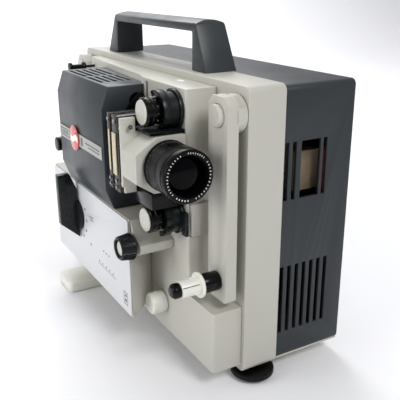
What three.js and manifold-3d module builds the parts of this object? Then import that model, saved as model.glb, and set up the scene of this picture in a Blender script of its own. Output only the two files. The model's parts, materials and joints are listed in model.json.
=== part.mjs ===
// Sound film projector for narrow-gauge film, as an assembly of separate pieces.
// Millimetres, +Z up. While the pieces are made, x = 0 is the operator face of the main casing, with the
// film side towards -X, y = 0 is its front face, with the lens pointing to -Y, and z = 0 is its underside.
// The finished group is moved so that its origin is the centre of its footprint, on the supporting surface.

import * as THREE from "three";
import { mergeVertices } from "three/addons/utils/BufferGeometryUtils.js";
import Module from "manifold-3d";

const wasm = await Module();
wasm.setup();

// ---------------------------------------------------------------- driving dimensions

const gap = 0.3; // between pieces that touch
const running = 0.4; // around whatever turns or slides in a hole

// Main casing and rear cover
const caseDepth = 346; // front to back
const caseHeight = 250;
const casingWidth = 35;
const casingWall = 3;
const casingRadius = 6;
const coverWidth = 73;
const coverWall = 2.5;
const coverInset = 1.8; // the cover stands this far inside the casing's outline
const coverRadius = 5;

// Feet
const footHeight = 12;
const wheelRadius = 19;
const wheelHeight = 7;
const screwRadius = 4;
const screwLength = 38;
const bossWall = 3.5; // threaded boss for the elevating foot
const bossHeight = 16;
const padRadius = 14;
const padHeight = 1.6;
const footPlace = [17, 11]; // elevating foot, from the casing's face and front
const rubberRadius = 9;
const rubberInset = 34; // rubber feet, from the front and rear ends
const barWidth = 40; // stabiliser bar
const barThickness = 11.2;
const barReach = 76; // its tip, from the casing's face
const barPivot = [10, 85]; // from the casing's face and rear end

// Mechanism deck
const deckReach = 28.5;
const deckRearReach = 11.6; // at its rear end
const deckStep = 3.9; // shoulder where the lamp house starts
const deckFlat = 83; // length of its front part, before the shoulder
const deckShoulder = 9; // length of the shoulder
const deckWall = 2.5;
const deckDrop = 6; // its top, below the top of the casing
const deckRadius = 3;
const notch = 46.8; // room for a reel arm, at each end
const blockInset = 4; // lower block, from each end of the casing
const blockBottom = 7;
const blockTop = 64;

// Handle
const handleFront = 78;
const handleLength = 215.5;
const handleWidth = 31;
const handleInset = 8; // from the casing's face
const handleRise = 40; // to the edge of the bar
const handleCrown = 5; // how much the middle of the bar stands above its edge
const barDepth = 6.5; // thickness of the bar at its edge
const legLength = 24; // at the foot of a leg
const legLean = 21; // how far the outer end leans in

// Optics
const opticReach = 47.5; // optical axis, from the casing's face
const opticDrop = 58.5; // below the top of the deck
const zoomRadius = 21.5;
const frontTubeRadius = zoomRadius - 3; // inside the zoom ring
const tubeRadius = frontTubeRadius - 3.5; // behind the zoom ring
const glassRadius = frontTubeRadius - 2.5;
const tubeWall = 3;
const glassBore = 13.5; // depth of the bore that holds the front lens
const tubeInset = 4; // the tube starts this far behind the bezel's front
const bezelDepth = 3.7; // thickness of the bezel's front
const bezelMouth = 4; // its mouth, in from its outside
const bezelChamfer = 0.8;
const lensFront = 8;
const bezelLength = 15.6;
const zoomGap = 0.5;
const carrierFront = 46;
const carrierDepth = 28;
const carrierWall = 3; // rear plate
const carrierLeft = 26.5; // from the optical axis
const carrierRight = 18;
const carrierUp = 23.5;
const carrierDown = 22.5;
const studRadius = 2.5;

// Film path
const sprocketY = 65.6;
const upperDrop = 18.1; // upper sprocket, below the top of the deck
const sprocketSpacing = 91.7;
const drumRadius = 12;
const trackRadius = drumRadius - 1.2;
const sprocketReach = 58.2;
const capRadius = drumRadius - 1.8;
const capThickness = 1.5;
const guideRadius = drumRadius + 5;
const guideWall = 2;
const guideReach = 43;
const guidePlate = 3.5; // dark plate outside the rim of a guide
const shoeReach = 60; // blocks that hold the film against the sprockets
const shoeClearance = 1.6;
const shoeFront = 48.5;
const shoeRear = 80.6;
const finHeight = 21; // fin at the front of the lower guide
const finReach = 5;
const gateTopRise = 34; // top of the gate plates, above the optical axis
const gateDropBelow = 33;
const gateReach = 70;
const plateFront = 89.5; // pressure plate
const plateDepth = 13;
const filmChannel = 3.5;
const apertureDepth = 7;
const apertureWidth = 6;
const apertureHeight = 5;
const railThickness = 0.8;

// Lamp house
const lampFront = 125;
const lampLength = 123;
const lampReach = 70;
const lampTopDrop = 5.6; // below the top of the deck
const lampHeight = 112.8;
const lampWall = 2.5;
const chamferIn = 7;
const chamferTall = 19.5;
const slotWidth = 3.6;
const slotPitch = 6.9;
const slotRib = 5; // between the two rows of slots
const slotMargin = 6;
const slotFront = 26; // the rows start this far behind its front
const slotShare = 0.44; // share of the slotted length in the front row
const stripeHeight = 12.4;
const stripeThickness = 0.6;
const badgeRadius = 12.6;
const badgeThickness = 0.8;
const lampRadius = 18;

// Control panel
const panelFront = 92.5;
const panelRear = 303;
const panelReach = 62.2;
const panelBottom = 27;
const panelSkew = 29.5; // how much its front face runs back towards the deck
const panelWall = 2.5;
const faceThickness = 1.2;
const faceMargin = 1;
const guardRadius = 27.5; // film guard, around the lower sprocket
const guardLip = 72;
const guardBottom = 97;
const guardReach = 61;

// Knobs and buttons
const leverPlace = [226, 88]; // from the front and above the underside
const leverHub = 17;
const leverHubThickness = 3.6;
const leverReach = 85;
const leverThickness = 8;
const leverUp = 47;
const leverDown = 25;
const leverSlant = 18;
const knobPlace = [84.5, 104];
const knobRadius = 12;
const knobEndRadius = 10;
const knobLength = 13.2;
const inchingPlace = [96, 35];
const inchingRadius = 10.5;
const inchingLength = 15;
const framingPlace = [13.5, 33]; // behind the lamp house, above its bottom
const framingRadius = 7.6;
const framingReach = 71.5;
const framingLength = 7.5;
const releaseHeight = 29.3; // loop release button
const releaseInner = 5;
const releaseOuter = 26;
const releaseDropBelow = 67; // underside of the release button, below the optical axis
const releaseProud = 2.8;
const releaseDepth = 8;
const shaftRadius = 3;

// Reel arms
const armInset = 15.5; // pivot and spindle, from the end of the casing
const armWidth = 28;
const armOuter = 18; // outer face of the front arm, from the casing's face
const armThickness = 10;
const rearArmThickness = 8;
const rearArmProud = 0.4; // beyond the rear end of the deck
const pivotDrop = 22; // below the top of the casing
const armHead = 15; // above the pivot
const armTail = 17; // below the spindle
const armChamfer = 6;
const armLift = 8; // above the lower block
const bossRadius = 15.5;
const pinRadius = 6;
const pinLength = 9;
const armButtonRadius = 9;
const armButtonProud = 3.8;
const armButtonDepth = 4.6;
const armPocket = 7;
const hubRadius = 8.4;
const flangeRadius = 11;
const sleeveRadius = 7.4;
const sleeveBore = 4.6;
const tipRadius = 6.5;
const hubLength = 16;
const rearHubLength = 13;
const flangeThickness = 2.2;
const sleeveLength = 17.2;
const tipLength = 7.4;

// Film roller
const rollerPlace = [290, 9]; // from the front, below the top of the deck
const rollerReach = 42;
const rollerLength = 18.6;
const rollerRadius = 5;
const rollerCore = 2.8;
const rollerFlange = 3;

// Drive
const mainReach = 10; // shutter shaft, from the casing's face
const mainDrop = 52; // below the top of the deck
const mainFront = 50.6;
const mainLength = 98;
const shutterPlace = 118;
const shutterRadius = 47.5;
const shutterThickness = 1.2;
const wormPlace = 78;
const wormRadius = 4.4;
const wheelPitchRadius = 11.4;
const wheelThickness = 6;
const beltPlace = 140;
const beltWidth = 6;
const beltThickness = 1.5;
const mainPulley = 7.4;
const motorPulley = 4;
const toothedPulley = 6.8;
const toothedInner = 18; // toothed belt, from the casing's face
const motorPlace = [68, 70]; // x, and above the underside
const motorFront = 160;
const motorLength = 62;
const motorRadius = 27;
const fanRadius = 32;
const fanLength = 17;
const fanBlades = 7;

// Electrical pieces
const coreSize = [40, 52, 56];
const corePlace = [78, 50, 168];
const coreLimb = 14;
const coreWindow = 11;
const coilOverhang = 12;
const boardPlace = 41;
const boardSize = [1.6, 150, 90];
const speakerRadius = 38;
const speakerPlace = [245, 170];
const speakerDepth = 24;
const capacitorRadius = 6;
const capacitorLength = 46;
const inletSize = [30, 24];
const inletPlace = [72, 42];
const inletDepth = 22;

// Rear cover's openings
const ventWidth = 4;
const ventPitch = 8;
const ventCount = 7;
const ventFirst = 39;
const lowVent = [28, 92];
const highVent = [152.5, 202];
const windowSpan = [54, 74];
const grilleSlots = 9;
const grillePitch = 7;
const grilleSlot = 3.2;

// ---------------------------------------------------------------- values that follow from them

const deckTop = caseHeight - deckDrop;
const deckRear = caseDepth - notch;
const lampTop = deckTop - lampTopDrop;
const lampBottom = lampTop - lampHeight;
const lampRear = lampFront + lampLength;
const panelTop = lampBottom - running;
const opticX = -opticReach;
const opticZ = deckTop - opticDrop;
const upperZ = deckTop - upperDrop;
const lowerZ = upperZ - sprocketSpacing;
const mainX = -mainReach;
const mainZ = deckTop - mainDrop;
const coverStart = casingWidth + gap;
const coverEnd = coverStart + coverWidth;
const coverFloor = coverInset;
const coverFront = coverInset;
const coverRear = caseDepth - coverInset;
const pivotZ = caseHeight - pivotDrop;
const armTop = pivotZ + armHead;
const armBottom = blockTop + armLift;
const spindleZ = armBottom + armTail;
const carrierRear = carrierFront + carrierDepth;
const plateRear = plateFront + plateDepth;
const apertureFront = plateRear + filmChannel;
const framingCentre = [lampRear + framingPlace[0], lampBottom + framingPlace[1]];
const releaseBottom = opticZ - releaseDropBelow;

// ---------------------------------------------------------------- shape helpers

const rect = (u0, u1, v0, v1) => [[u0, v0], [u1, v0], [u1, v1], [u0, v1]];

// An outline with its corners rounded; a corner's third value is a radius of its own.
function rounded(corners, radius, steps = 4) {
  const outline = [];
  corners.forEach((corner, i) => {
    const here = new THREE.Vector2(corner[0], corner[1]);
    const r = corner[2] ?? radius;
    if (!r) {
      outline.push([here.x, here.y]);
      return;
    }
    const before = corners[(i + corners.length - 1) % corners.length];
    const after = corners[(i + 1) % corners.length];
    const a = new THREE.Vector2(before[0], before[1]).sub(here).normalize();
    const b = new THREE.Vector2(after[0], after[1]).sub(here).normalize();
    const half = Math.acos(THREE.MathUtils.clamp(a.dot(b), -1, 1)) / 2;
    const centre = a.clone().add(b).normalize().multiplyScalar(r / Math.sin(half)).add(here);
    const start = a.clone().multiplyScalar(r / Math.tan(half)).add(here).sub(centre);
    const end = b.clone().multiplyScalar(r / Math.tan(half)).add(here).sub(centre);
    const sweep = Math.atan2(start.cross(end), start.dot(end));
    for (let step = 0; step <= steps; step++) {
      const turn = start.clone().rotateAround(new THREE.Vector2(), (sweep * step) / steps);
      outline.push([centre.x + turn.x, centre.y + turn.y]);
    }
  });
  return outline;
}

// Points of an arc, angles in degrees.
function arc(centre, radius, from, to, steps) {
  const points = [];
  for (let step = 0; step <= steps; step++) {
    const angle = THREE.MathUtils.degToRad(from + ((to - from) * step) / steps);
    points.push([centre[0] + radius * Math.cos(angle), centre[1] + radius * Math.sin(angle)]);
  }
  return points;
}

const sector = (centre, inner, outer, from, to, steps) => [
  ...arc(centre, outer, from, to, steps),
  ...arc(centre, inner, to, from, steps),
];

function extruded(outline, length, basis, place) {
  const shape = new THREE.Shape(outline.map(([u, v]) => new THREE.Vector2(u, v)));
  const geometry = new THREE.ExtrudeGeometry(shape, { depth: length, bevelEnabled: false, steps: 1 });
  geometry.applyMatrix4(new THREE.Matrix4().makeBasis(...basis));
  geometry.translate(...place);
  return geometry;
}

const alongX = new THREE.Vector3(1, 0, 0);
const alongY = new THREE.Vector3(0, 1, 0);
const alongZ = new THREE.Vector3(0, 0, 1);
const backY = new THREE.Vector3(0, -1, 0);
// Outlines are [y, z] for prismX, [x, z] for prismY and [x, y] for prismZ.
const prismX = (outline, x0, x1) => extruded(outline, x1 - x0, [alongY, alongZ, alongX], [x0, 0, 0]);
const prismY = (outline, y0, y1) => extruded(outline, y1 - y0, [alongX, alongZ, backY], [0, y1, 0]);
const prismZ = (outline, z0, z1) => extruded(outline, z1 - z0, [alongX, alongY, alongZ], [0, 0, z0]);

function block(x0, x1, y0, y1, z0, z1) {
  const geometry = new THREE.BoxGeometry(x1 - x0, y1 - y0, z1 - z0);
  geometry.translate((x0 + x1) / 2, (y0 + y1) / 2, (z0 + z1) / 2);
  return geometry;
}

// A turned piece: profile points are [radius, place along the axis], at is the axis's other two coordinates.
function turned(axis, profile, at, sides = 28) {
  const geometry = new THREE.LatheGeometry(profile.map(([r, h]) => new THREE.Vector2(r, h)), sides);
  if (axis === "x") geometry.rotateZ(-Math.PI / 2).translate(0, at[0], at[1]);
  if (axis === "y") geometry.translate(at[0], 0, at[1]);
  if (axis === "z") geometry.rotateX(Math.PI / 2).translate(at[0], at[1], 0);
  return geometry;
}

const rod = (axis, radius, from, to, at, sides) =>
  turned(axis, [[0, from], [radius, from], [radius, to], [0, to]], at, sides);

const tube = (axis, outer, inner, from, to, at, sides) =>
  turned(axis, [[inner, from], [outer, from], [outer, to], [inner, to], [inner, from]], at, sides);

// Merges a geometry's shared vertices, drops triangles of no area and turns its faces outwards.
function closed(geometry) {
  const bare = geometry.clone();
  bare.deleteAttribute("normal");
  bare.deleteAttribute("uv");
  const merged = mergeVertices(bare, 1e-4);
  const index = merged.index.array;
  const corner = [new THREE.Vector3(), new THREE.Vector3(), new THREE.Vector3()];
  const kept = [];
  let volume = 0;
  for (let i = 0; i < index.length; i += 3) {
    const [a, b, c] = [index[i], index[i + 1], index[i + 2]];
    if (a === b || b === c || c === a) continue;
    kept.push(a, b, c);
    [a, b, c].forEach((vertex, k) => corner[k].fromBufferAttribute(merged.attributes.position, vertex));
    volume += corner[0].dot(corner[1].cross(corner[2]));
  }
  if (volume < 0) kept.reverse();
  merged.setIndex(kept);
  return merged;
}

function toSolid(geometry) {
  const merged = closed(geometry);
  return new wasm.Manifold(new wasm.Mesh({
    numProp: 3,
    vertProperties: new Float32Array(merged.attributes.position.array),
    triVerts: new Uint32Array(merged.index.array),
  }));
}

function toGeometry(solid) {
  const mesh = solid.getMesh();
  const geometry = new THREE.BufferGeometry();
  geometry.setAttribute("position", new THREE.BufferAttribute(new Float32Array(mesh.vertProperties), 3));
  geometry.setIndex(new THREE.BufferAttribute(new Uint32Array(mesh.triVerts), 1));
  return geometry;
}

const join = (first, ...rest) =>
  toGeometry(rest.reduce((solid, next) => solid.add(toSolid(next)), toSolid(first)));
const cut = (first, ...tools) =>
  toGeometry(tools.reduce((solid, tool) => solid.subtract(toSolid(tool)), toSolid(first)));
const common = (a, b) => toGeometry(toSolid(a).intersect(toSolid(b)));

// The smallest convex outline around some points.
function hull(points) {
  const sorted = [...points].sort((p, q) => p[0] - q[0] || p[1] - q[1]);
  const turn = (o, p, q) => (p[0] - o[0]) * (q[1] - o[1]) - (p[1] - o[1]) * (q[0] - o[0]);
  const chain = (list) => {
    const side = [];
    for (const point of list) {
      while (side.length > 1 && turn(side.at(-2), side.at(-1), point) <= 0) side.pop();
      side.push(point);
    }
    return side.slice(0, -1);
  };
  return [...chain(sorted), ...chain(sorted.reverse())];
}

// A belt around pulleys, each [u, v, radius].
function beltLoop(prism, pulleys, from, to) {
  const around = (extra) =>
    hull(pulleys.flatMap(([u, v, r]) => arc([u, v], r + extra, 0, 345, 23)));
  return cut(prism(around(gap + beltThickness), from, to), prism(around(gap), from - 1, to + 1));
}

// ---------------------------------------------------------------- finishes

const finishes = {
  lightShell: { color: 0xbfbeb4, roughness: 0.5, metalness: 0 },
  darkShell: { color: 0x3b3e40, roughness: 0.5, metalness: 0 },
  slateShell: { color: 0x5b6366, roughness: 0.5, metalness: 0 },
  whitePlastic: { color: 0xe6e6df, roughness: 0.45, metalness: 0 },
  whitePanel: { color: 0xd5d6d8, roughness: 0.4, metalness: 0 },
  blackPlastic: { color: 0x141516, roughness: 0.3, metalness: 0 },
  charcoal: { color: 0x33373a, roughness: 0.45, metalness: 0 },
  silverPrint: { color: 0xa9a9a4, roughness: 0.4, metalness: 0.3 },
  redPlastic: { color: 0xc8403a, roughness: 0.4, metalness: 0 },
  cream: { color: 0xc9bfa0, roughness: 0.5, metalness: 0 },
  glass: { color: 0x2a3038, roughness: 0.05, metalness: 0 },
  rubber: { color: 0x1b1b1b, roughness: 0.85, metalness: 0 },
  steel: { color: 0x9b9c9e, roughness: 0.3, metalness: 1 },
  brass: { color: 0xb08d4f, roughness: 0.3, metalness: 1 },
  board: { color: 0x8a6a3c, roughness: 0.6, metalness: 0 },
  paper: { color: 0x8f7f6c, roughness: 0.8, metalness: 0 },
};

const projector = new THREE.Group();

function piece(name, finish, geometry) {
  const mesh = new THREE.Mesh(closed(geometry), new THREE.MeshStandardMaterial(finishes[finish]));
  mesh.name = name;
  projector.add(mesh);
}

// ---------------------------------------------------------------- casing, cover and handle

// The deck's outline from above, grown outwards by a margin on the operator side.
const deckPlan = (margin) => [
  [-gap, notch],
  [-deckReach - margin, notch],
  [-deckReach - margin, notch + deckFlat],
  [-deckReach + deckStep - margin, notch + deckFlat + deckShoulder],
  [-deckRearReach - margin, deckRear],
  [-gap, deckRear],
];

// Where the deck's outer face lies at a distance y from the front, behind the shoulder.
function deckFace(y) {
  const start = notch + deckFlat + deckShoulder;
  const share = (y - start) / (deckRear - start);
  return -deckReach + deckStep + (deckReach - deckStep - deckRearReach) * share;
}

function armPivots(radius) {
  const ends = [armInset, caseDepth - armInset];
  return ends.map((y) => rod("x", radius, -1, casingWall + 1, [y, pivotZ]));
}

function mainCasing() {
  const outer = rounded(rect(0, caseDepth, 0, caseHeight), casingRadius);
  const inner = rounded(
    rect(casingWall, caseDepth - casingWall, casingWall, caseHeight - casingWall),
    casingRadius - casingWall,
  );
  const window = rect(notch + 5, deckRear - 5, blockTop + 6, deckTop - deckWall - 1);
  const shell = cut(
    prismX(outer, 0, casingWidth),
    prismX(inner, casingWall, casingWidth + 1),
    prismX(window, -1, casingWall + 1),
    ...armPivots(pinRadius + running),
  );
  return cut(
    join(shell, rod("z", screwRadius + bossWall, casingWall - 1, bossHeight, footPlace)),
    rod("z", screwRadius + running, -1, bossHeight + 1, footPlace),
  );
}

function rearCover() {
  const outer = rounded(rect(coverFront, coverRear, coverFloor, caseHeight - coverInset), coverRadius);
  const inner = rounded(
    rect(
      coverFront + coverWall, coverRear - coverWall,
      coverFloor + coverWall, caseHeight - coverInset - coverWall,
    ),
    coverRadius - coverWall,
  );
  const through = [coverFront - 1, coverFront + coverWall + 1];
  const slots = [];
  for (let i = 0; i < ventCount; i++) {
    const x = ventFirst + i * ventPitch;
    slots.push(block(x - ventWidth / 2, x + ventWidth / 2, ...through, ...lowVent));
    const before = x < windowSpan[0] - ventPitch / 2;
    const beside = before || Math.abs(x - windowSpan[1] - ventPitch) < ventPitch / 2;
    if (beside) slots.push(block(x - ventWidth / 2, x + ventWidth / 2, ...through, ...highVent));
  }
  slots.push(block(...windowSpan, ...through, ...highVent));
  for (let i = 0; i < grilleSlots; i++) {
    const rise = (i - (grilleSlots - 1) / 2) * grillePitch;
    const half = Math.sqrt((speakerRadius - 2) ** 2 - rise ** 2);
    const [y, z] = [speakerPlace[0], speakerPlace[1] + rise];
    slots.push(block(
      coverEnd - coverWall - 1, coverEnd + 1, y - half, y + half,
      z - grilleSlot / 2, z + grilleSlot / 2,
    ));
  }
  const [inletX, inletZ] = inletPlace;
  slots.push(block(
    inletX - inletSize[0] / 2 - gap, inletX + inletSize[0] / 2 + gap,
    coverRear - coverWall - 1, coverRear + 1,
    inletZ - inletSize[1] / 2 - gap, inletZ + inletSize[1] / 2 + gap,
  ));
  return cut(
    prismX(outer, coverStart, coverEnd),
    prismX(inner, coverStart - 1, coverEnd - coverWall),
    ...slots,
  );
}

function handle() {
  const base = caseHeight + gap;
  const edge = caseHeight + handleRise;
  const rear = handleFront + handleLength;
  const side = rounded([
    [handleFront, base, 0],
    [handleFront + legLength, base, 0],
    [handleFront + legLength + 1, edge - barDepth, 2],
    [rear - legLength - 1, edge - barDepth, 2],
    [rear - legLength, base, 0],
    [rear, base, 0],
    [rear - legLean, edge + handleCrown, 9],
    [handleFront + legLean, edge + handleCrown, 9],
  ], 0);
  const left = handleInset;
  const right = handleInset + handleWidth;
  const middle = (left + right) / 2;
  const crown = rounded([
    [left, base - 1, 0], [right, base - 1, 0], [right - 1, edge, 3],
    [middle, edge + handleCrown, handleWidth], [left + 1, edge, 3],
  ], 0, 5);
  return common(prismX(side, left - 1, right + 1), prismY(crown, handleFront - 1, rear + 1));
}

piece("main_casing", "lightShell", mainCasing());
piece("rear_cover", "darkShell", rearCover());
piece("handle", "charcoal", handle());

// ---------------------------------------------------------------- mechanism deck

const blockFront = blockInset;
const blockRear = caseDepth - blockInset;

// The deck with its lower block, grown by a margin, for trimming what is fitted against it.
function deckVolume(margin) {
  return join(
    prismZ(deckPlan(margin), blockTop - 1, deckTop + 5),
    block(-deckReach - margin, -gap, blockFront - margin, blockRear + margin, 0, blockTop + margin),
    block(-gap - 1, casingWidth, 0, caseDepth, 0, caseHeight),
  );
}

function mechanismDeck() {
  const plan = deckPlan(0);
  const outerPlan = rounded(plan.map(([x, y], i) => [x, y, i === 1 ? deckRadius : 0]), 0);
  const inner = [
    [1, notch + deckWall],
    [-deckReach + deckWall, notch + deckWall],
    [-deckReach + deckWall, notch + deckFlat],
    [-deckReach + deckStep + deckWall, notch + deckFlat + deckShoulder],
    [-deckRearReach + deckWall, deckRear - deckWall],
    [1, deckRear - deckWall],
  ];
  const lower = rounded([
    [-gap, blockFront, 0], [-gap, blockRear, 0],
    [-deckReach, blockRear, deckRadius], [-deckReach, blockFront, deckRadius],
  ], 0);
  const shell = cut(
    join(prismZ(outerPlan, blockTop - deckWall, deckTop), prismZ(lower, blockBottom, blockTop)),
    prismZ(inner, blockTop - 2 * deckWall, deckTop - deckWall),
    block(
      -deckReach + deckWall, 1,
      blockFront + deckWall, blockRear - deckWall,
      blockBottom + deckWall, blockTop - deckWall,
    ),
  );
  const ribs = [notch + deckWall + 2, shutterPlace + 8].map((y) =>
    block(-deckReach + deckWall - 0.5, -2, y, y + 3, mainZ - 12, mainZ + 12));
  const bored = [
    rod("y", shaftRadius + running, notch + deckWall, lampFront + 10, [mainX, mainZ]),
    ...[upperZ, lowerZ].map((z) => rod("x", shaftRadius + running, -deckReach - 1, -1, [sprocketY, z])),
    rod("x", shaftRadius + running, -deckReach - 1, -1, inchingPlace),
    rod("x", shaftRadius + running, -deckReach - 1, -1, framingCentre),
    rod("x", rollerCore / 2 + running, -deckReach - 1, -1, [rollerPlace[0], deckTop - rollerPlace[1]]),
    block(
      -deckReach - 1, -deckReach + deckWall + 1,
      shutterPlace - 1.2, shutterPlace + shutterThickness + 1.2,
      mainZ - shutterRadius - 1, deckTop - deckWall,
    ),
    block(
      -releaseOuter - running, -releaseInner + running,
      notch - 1, notch + deckWall + 1,
      releaseBottom - running, releaseBottom + releaseHeight + running,
    ),
  ];
  return cut(join(shell, ...ribs), ...bored);
}

piece("mechanism_deck", "lightShell", mechanismDeck());

// ---------------------------------------------------------------- lamp house

// The lamp house's section, or its hollow when a wall is given; the hollow runs out of its bottom.
function lampOutline(wall) {
  const side = -lampReach + wall;
  return [
    ...(wall ? [[0, lampBottom - 1], [side + chamferIn, lampBottom - 1]] : [[0, lampBottom]]),
    [side + chamferIn, lampBottom],
    [side, lampBottom + chamferTall],
    [side, lampTop - chamferTall],
    [side + chamferIn, lampTop - wall],
    [0, lampTop - wall],
  ];
}

function lampHouseCover() {
  const slotted = lampLength - slotFront - slotMargin - slotRib;
  const ribFront = lampFront + slotFront + slotted * slotShare;
  const rows = [[lampFront + slotFront, ribFront], [ribFront + slotRib, lampRear - slotMargin]];
  const slots = [];
  for (const [y, end] of rows) {
    let x = -lampReach + chamferIn + slotMargin;
    while (x + slotWidth < deckFace(y)) {
      slots.push(block(
        x - slotWidth / 2, x + slotWidth / 2, y, end, lampTop - lampWall - 1, lampTop + 1,
      ));
      x += slotPitch;
    }
  }
  return cut(
    prismY(lampOutline(0), lampFront, lampRear),
    prismY(lampOutline(lampWall), lampFront + lampWall, lampRear - lampWall),
    deckVolume(running),
    block(opticX - 11, opticX + 14, lampFront - 1, lampFront + lampWall + 1, opticZ - 22, opticZ + 22),
    ...slots,
  );
}

const stripeZ = (lampTop + lampBottom) / 2 - 3.5;
const stripeOuter = -lampReach - gap;
const badgeOuter = stripeOuter - stripeThickness - gap;
const badgeY = lampRear - 49;

piece("lamp_house_cover", "slateShell", lampHouseCover());
piece("name_stripe", "silverPrint", block(
  stripeOuter - stripeThickness, stripeOuter,
  lampFront + 3, lampRear - 2, stripeZ - stripeHeight / 2, stripeZ + stripeHeight / 2,
));
piece("round_badge", "redPlastic",
  rod("x", badgeRadius, badgeOuter - badgeThickness, badgeOuter, [badgeY, stripeZ]));

// Lamp with its dished reflector, and its socket
const reflectorFront = lampFront + 26;
const reflectorRear = reflectorFront + 22;
const baseRear = reflectorRear + 9;
const socketLength = 14;

piece("lamp", "glass", turned("y", [
  [0, reflectorFront + 4], [5, reflectorFront + 6], [6, reflectorFront + 13], [10, reflectorFront + 13],
  [lampRadius - 1.5, reflectorFront], [lampRadius, reflectorFront], [11, reflectorFront + 17],
  [6, reflectorRear], [6, baseRear], [0, baseRear],
], [opticX, opticZ]));
piece("lamp_socket", "cream", block(
  opticX - 10, deckFace(baseRear + gap) - running - 1,
  baseRear + gap, baseRear + gap + socketLength, opticZ - 10, opticZ + 10,
));

// ---------------------------------------------------------------- control panel

function panelPlan(wall) {
  return [
    [-2, panelFront + panelSkew + wall],
    [-deckReach, panelFront + panelSkew + wall],
    [-panelReach + wall, panelFront + wall],
    [-panelReach + wall, panelRear - wall],
    [-2, panelRear - wall],
  ];
}

// A block in front of the panel, hollowed to the curve of the film around the lower sprocket
function filmGuard() {
  const upper = THREE.MathUtils.radToDeg(Math.asin((panelTop - lowerZ) / guardRadius));
  const lip = -THREE.MathUtils.radToDeg(Math.acos((guardLip - sprocketY) / guardRadius));
  const rear = panelFront + panelSkew + panelWall;
  return prismX([
    [rear, panelTop],
    ...arc([sprocketY, lowerZ], guardRadius, upper, lip, 8),
    [guardLip, guardBottom + 5],
    [guardLip + 5, guardBottom],
    [rear, guardBottom],
  ], -guardReach, -deckReach - running);
}

function panelBody() {
  return cut(
    join(prismZ(panelPlan(0), panelBottom, panelTop), filmGuard()),
    prismZ(panelPlan(panelWall), panelBottom + panelWall, panelTop - panelWall),
    deckVolume(gap),
    rod("x", shaftRadius + running, -panelReach - 1, -panelReach + panelWall + 1, leverPlace),
    rod("x", shaftRadius + running, -panelReach - 1, -deckReach - 8, knobPlace),
  );
}

function panelFace() {
  const outline = rounded(
    rect(
      panelFront + faceMargin, panelRear - faceMargin,
      panelBottom + faceMargin, panelTop - faceMargin,
    ),
    2,
  );
  const inner = -panelReach - gap;
  return cut(
    prismX(outline, inner - faceThickness, inner),
    rod("x", shaftRadius + running, inner - faceThickness - 1, inner + 1, leverPlace),
  );
}

const faceOuter = -panelReach - gap - faceThickness;

piece("panel_body", "lightShell", panelBody());
piece("panel_face", "whitePanel", panelFace());

// Function lever: a slanted blade on a round hub
function functionLever() {
  const [y, z] = leverPlace;
  const hubInner = faceOuter - running;
  const hubOuter = hubInner - leverHubThickness;
  const reach = -leverReach;
  const blade = prismY([
    [hubInner - 1, z - leverDown],
    [hubInner - 1, lampBottom - 9],
    [-lampReach - 2.4, z + leverUp],
    [reach, z + leverUp],
    [reach, z - leverDown + leverSlant],
  ], y - leverThickness / 2, y + leverThickness / 2);
  return join(
    blade,
    rod("x", leverHub, hubOuter, hubInner, leverPlace),
    rod("x", shaftRadius, hubInner - 1, -panelReach + panelWall + 12, leverPlace),
  );
}

function threadingKnob() {
  const inner = faceOuter - running;
  const end = inner - knobLength;
  return turned("x", [
    [0, end + 2.2], [knobEndRadius - 1.6, end + 2.2], [knobEndRadius - 1.6, end], [knobEndRadius, end],
    [knobRadius, inner], [shaftRadius, inner], [shaftRadius, -deckReach - 12], [0, -deckReach - 12],
  ], knobPlace, 32);
}

function inchingKnob() {
  const inner = -deckReach - running;
  return turned("x", [
    [0, inner - inchingLength], [inchingRadius - 1.5, inner - inchingLength],
    [inchingRadius, inner - inchingLength + 1.5], [inchingRadius, inner],
    [shaftRadius, inner], [shaftRadius, -5], [0, -5],
  ], inchingPlace, 32);
}

function framingKnob() {
  const end = -framingReach;
  return turned("x", [
    [0, end], [framingRadius - 1, end], [framingRadius, end + 1], [framingRadius, end + framingLength],
    [shaftRadius, end + framingLength], [shaftRadius, -5], [0, -5],
  ], framingCentre);
}

piece("function_lever", "charcoal", functionLever());
piece("threading_knob", "charcoal", threadingKnob());
piece("inching_knob", "whitePlastic", inchingKnob());
piece("framing_knob", "blackPlastic", framingKnob());
piece("release_button", "lightShell", prismY(
  rounded(rect(-releaseOuter, -releaseInner, releaseBottom, releaseBottom + releaseHeight), 2.5, 3),
  notch - releaseProud, notch - releaseProud + releaseDepth,
));

// ---------------------------------------------------------------- film gate and lens

function gatePlate(front, depth) {
  return cut(
    block(-gateReach, -deckReach - gap, front, front + depth, opticZ - gateDropBelow, opticZ + gateTopRise),
    block(
      opticX - apertureWidth / 2, opticX + apertureWidth / 2,
      front - 1, front + depth + 1, opticZ - apertureHeight / 2, opticZ + apertureHeight / 2,
    ),
  );
}

function lensCarrier() {
  const left = opticX - carrierLeft;
  const right = opticX + carrierRight;
  const top = opticZ + carrierUp;
  const bottom = opticZ - carrierDown;
  const front = rounded([
    [left, opticZ - 12.5], [left + 15, bottom], [right, bottom], [right, top],
    [left + 19, top], [left, opticZ + 11],
  ], 1.5, 2);
  const ear = rect(left, left + 13, opticZ - 20, upperZ - 5);
  const studs = [opticZ - 24, opticZ + 24].map((z) =>
    rod("y", studRadius, carrierRear + carrierWall - 1, plateFront - gap, [left + 7, z], 16));
  return cut(
    join(
      prismY(front, carrierFront, carrierRear + 1),
      prismY(rect(left, right, bottom, top), carrierRear, carrierRear + carrierWall),
      prismY(ear, carrierRear, carrierRear + carrierWall),
      block(left + 2, left + 12, carrierRear, carrierRear + carrierWall, opticZ - 28, opticZ),
      ...studs,
    ),
    rod("y", tubeRadius + running, carrierFront - 1, carrierRear + carrierWall + 1, [opticX, opticZ], 36),
  );
}

const zoomFront = lensFront + bezelLength + zoomGap;
const zoomRear = carrierFront - 2.5;

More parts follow.
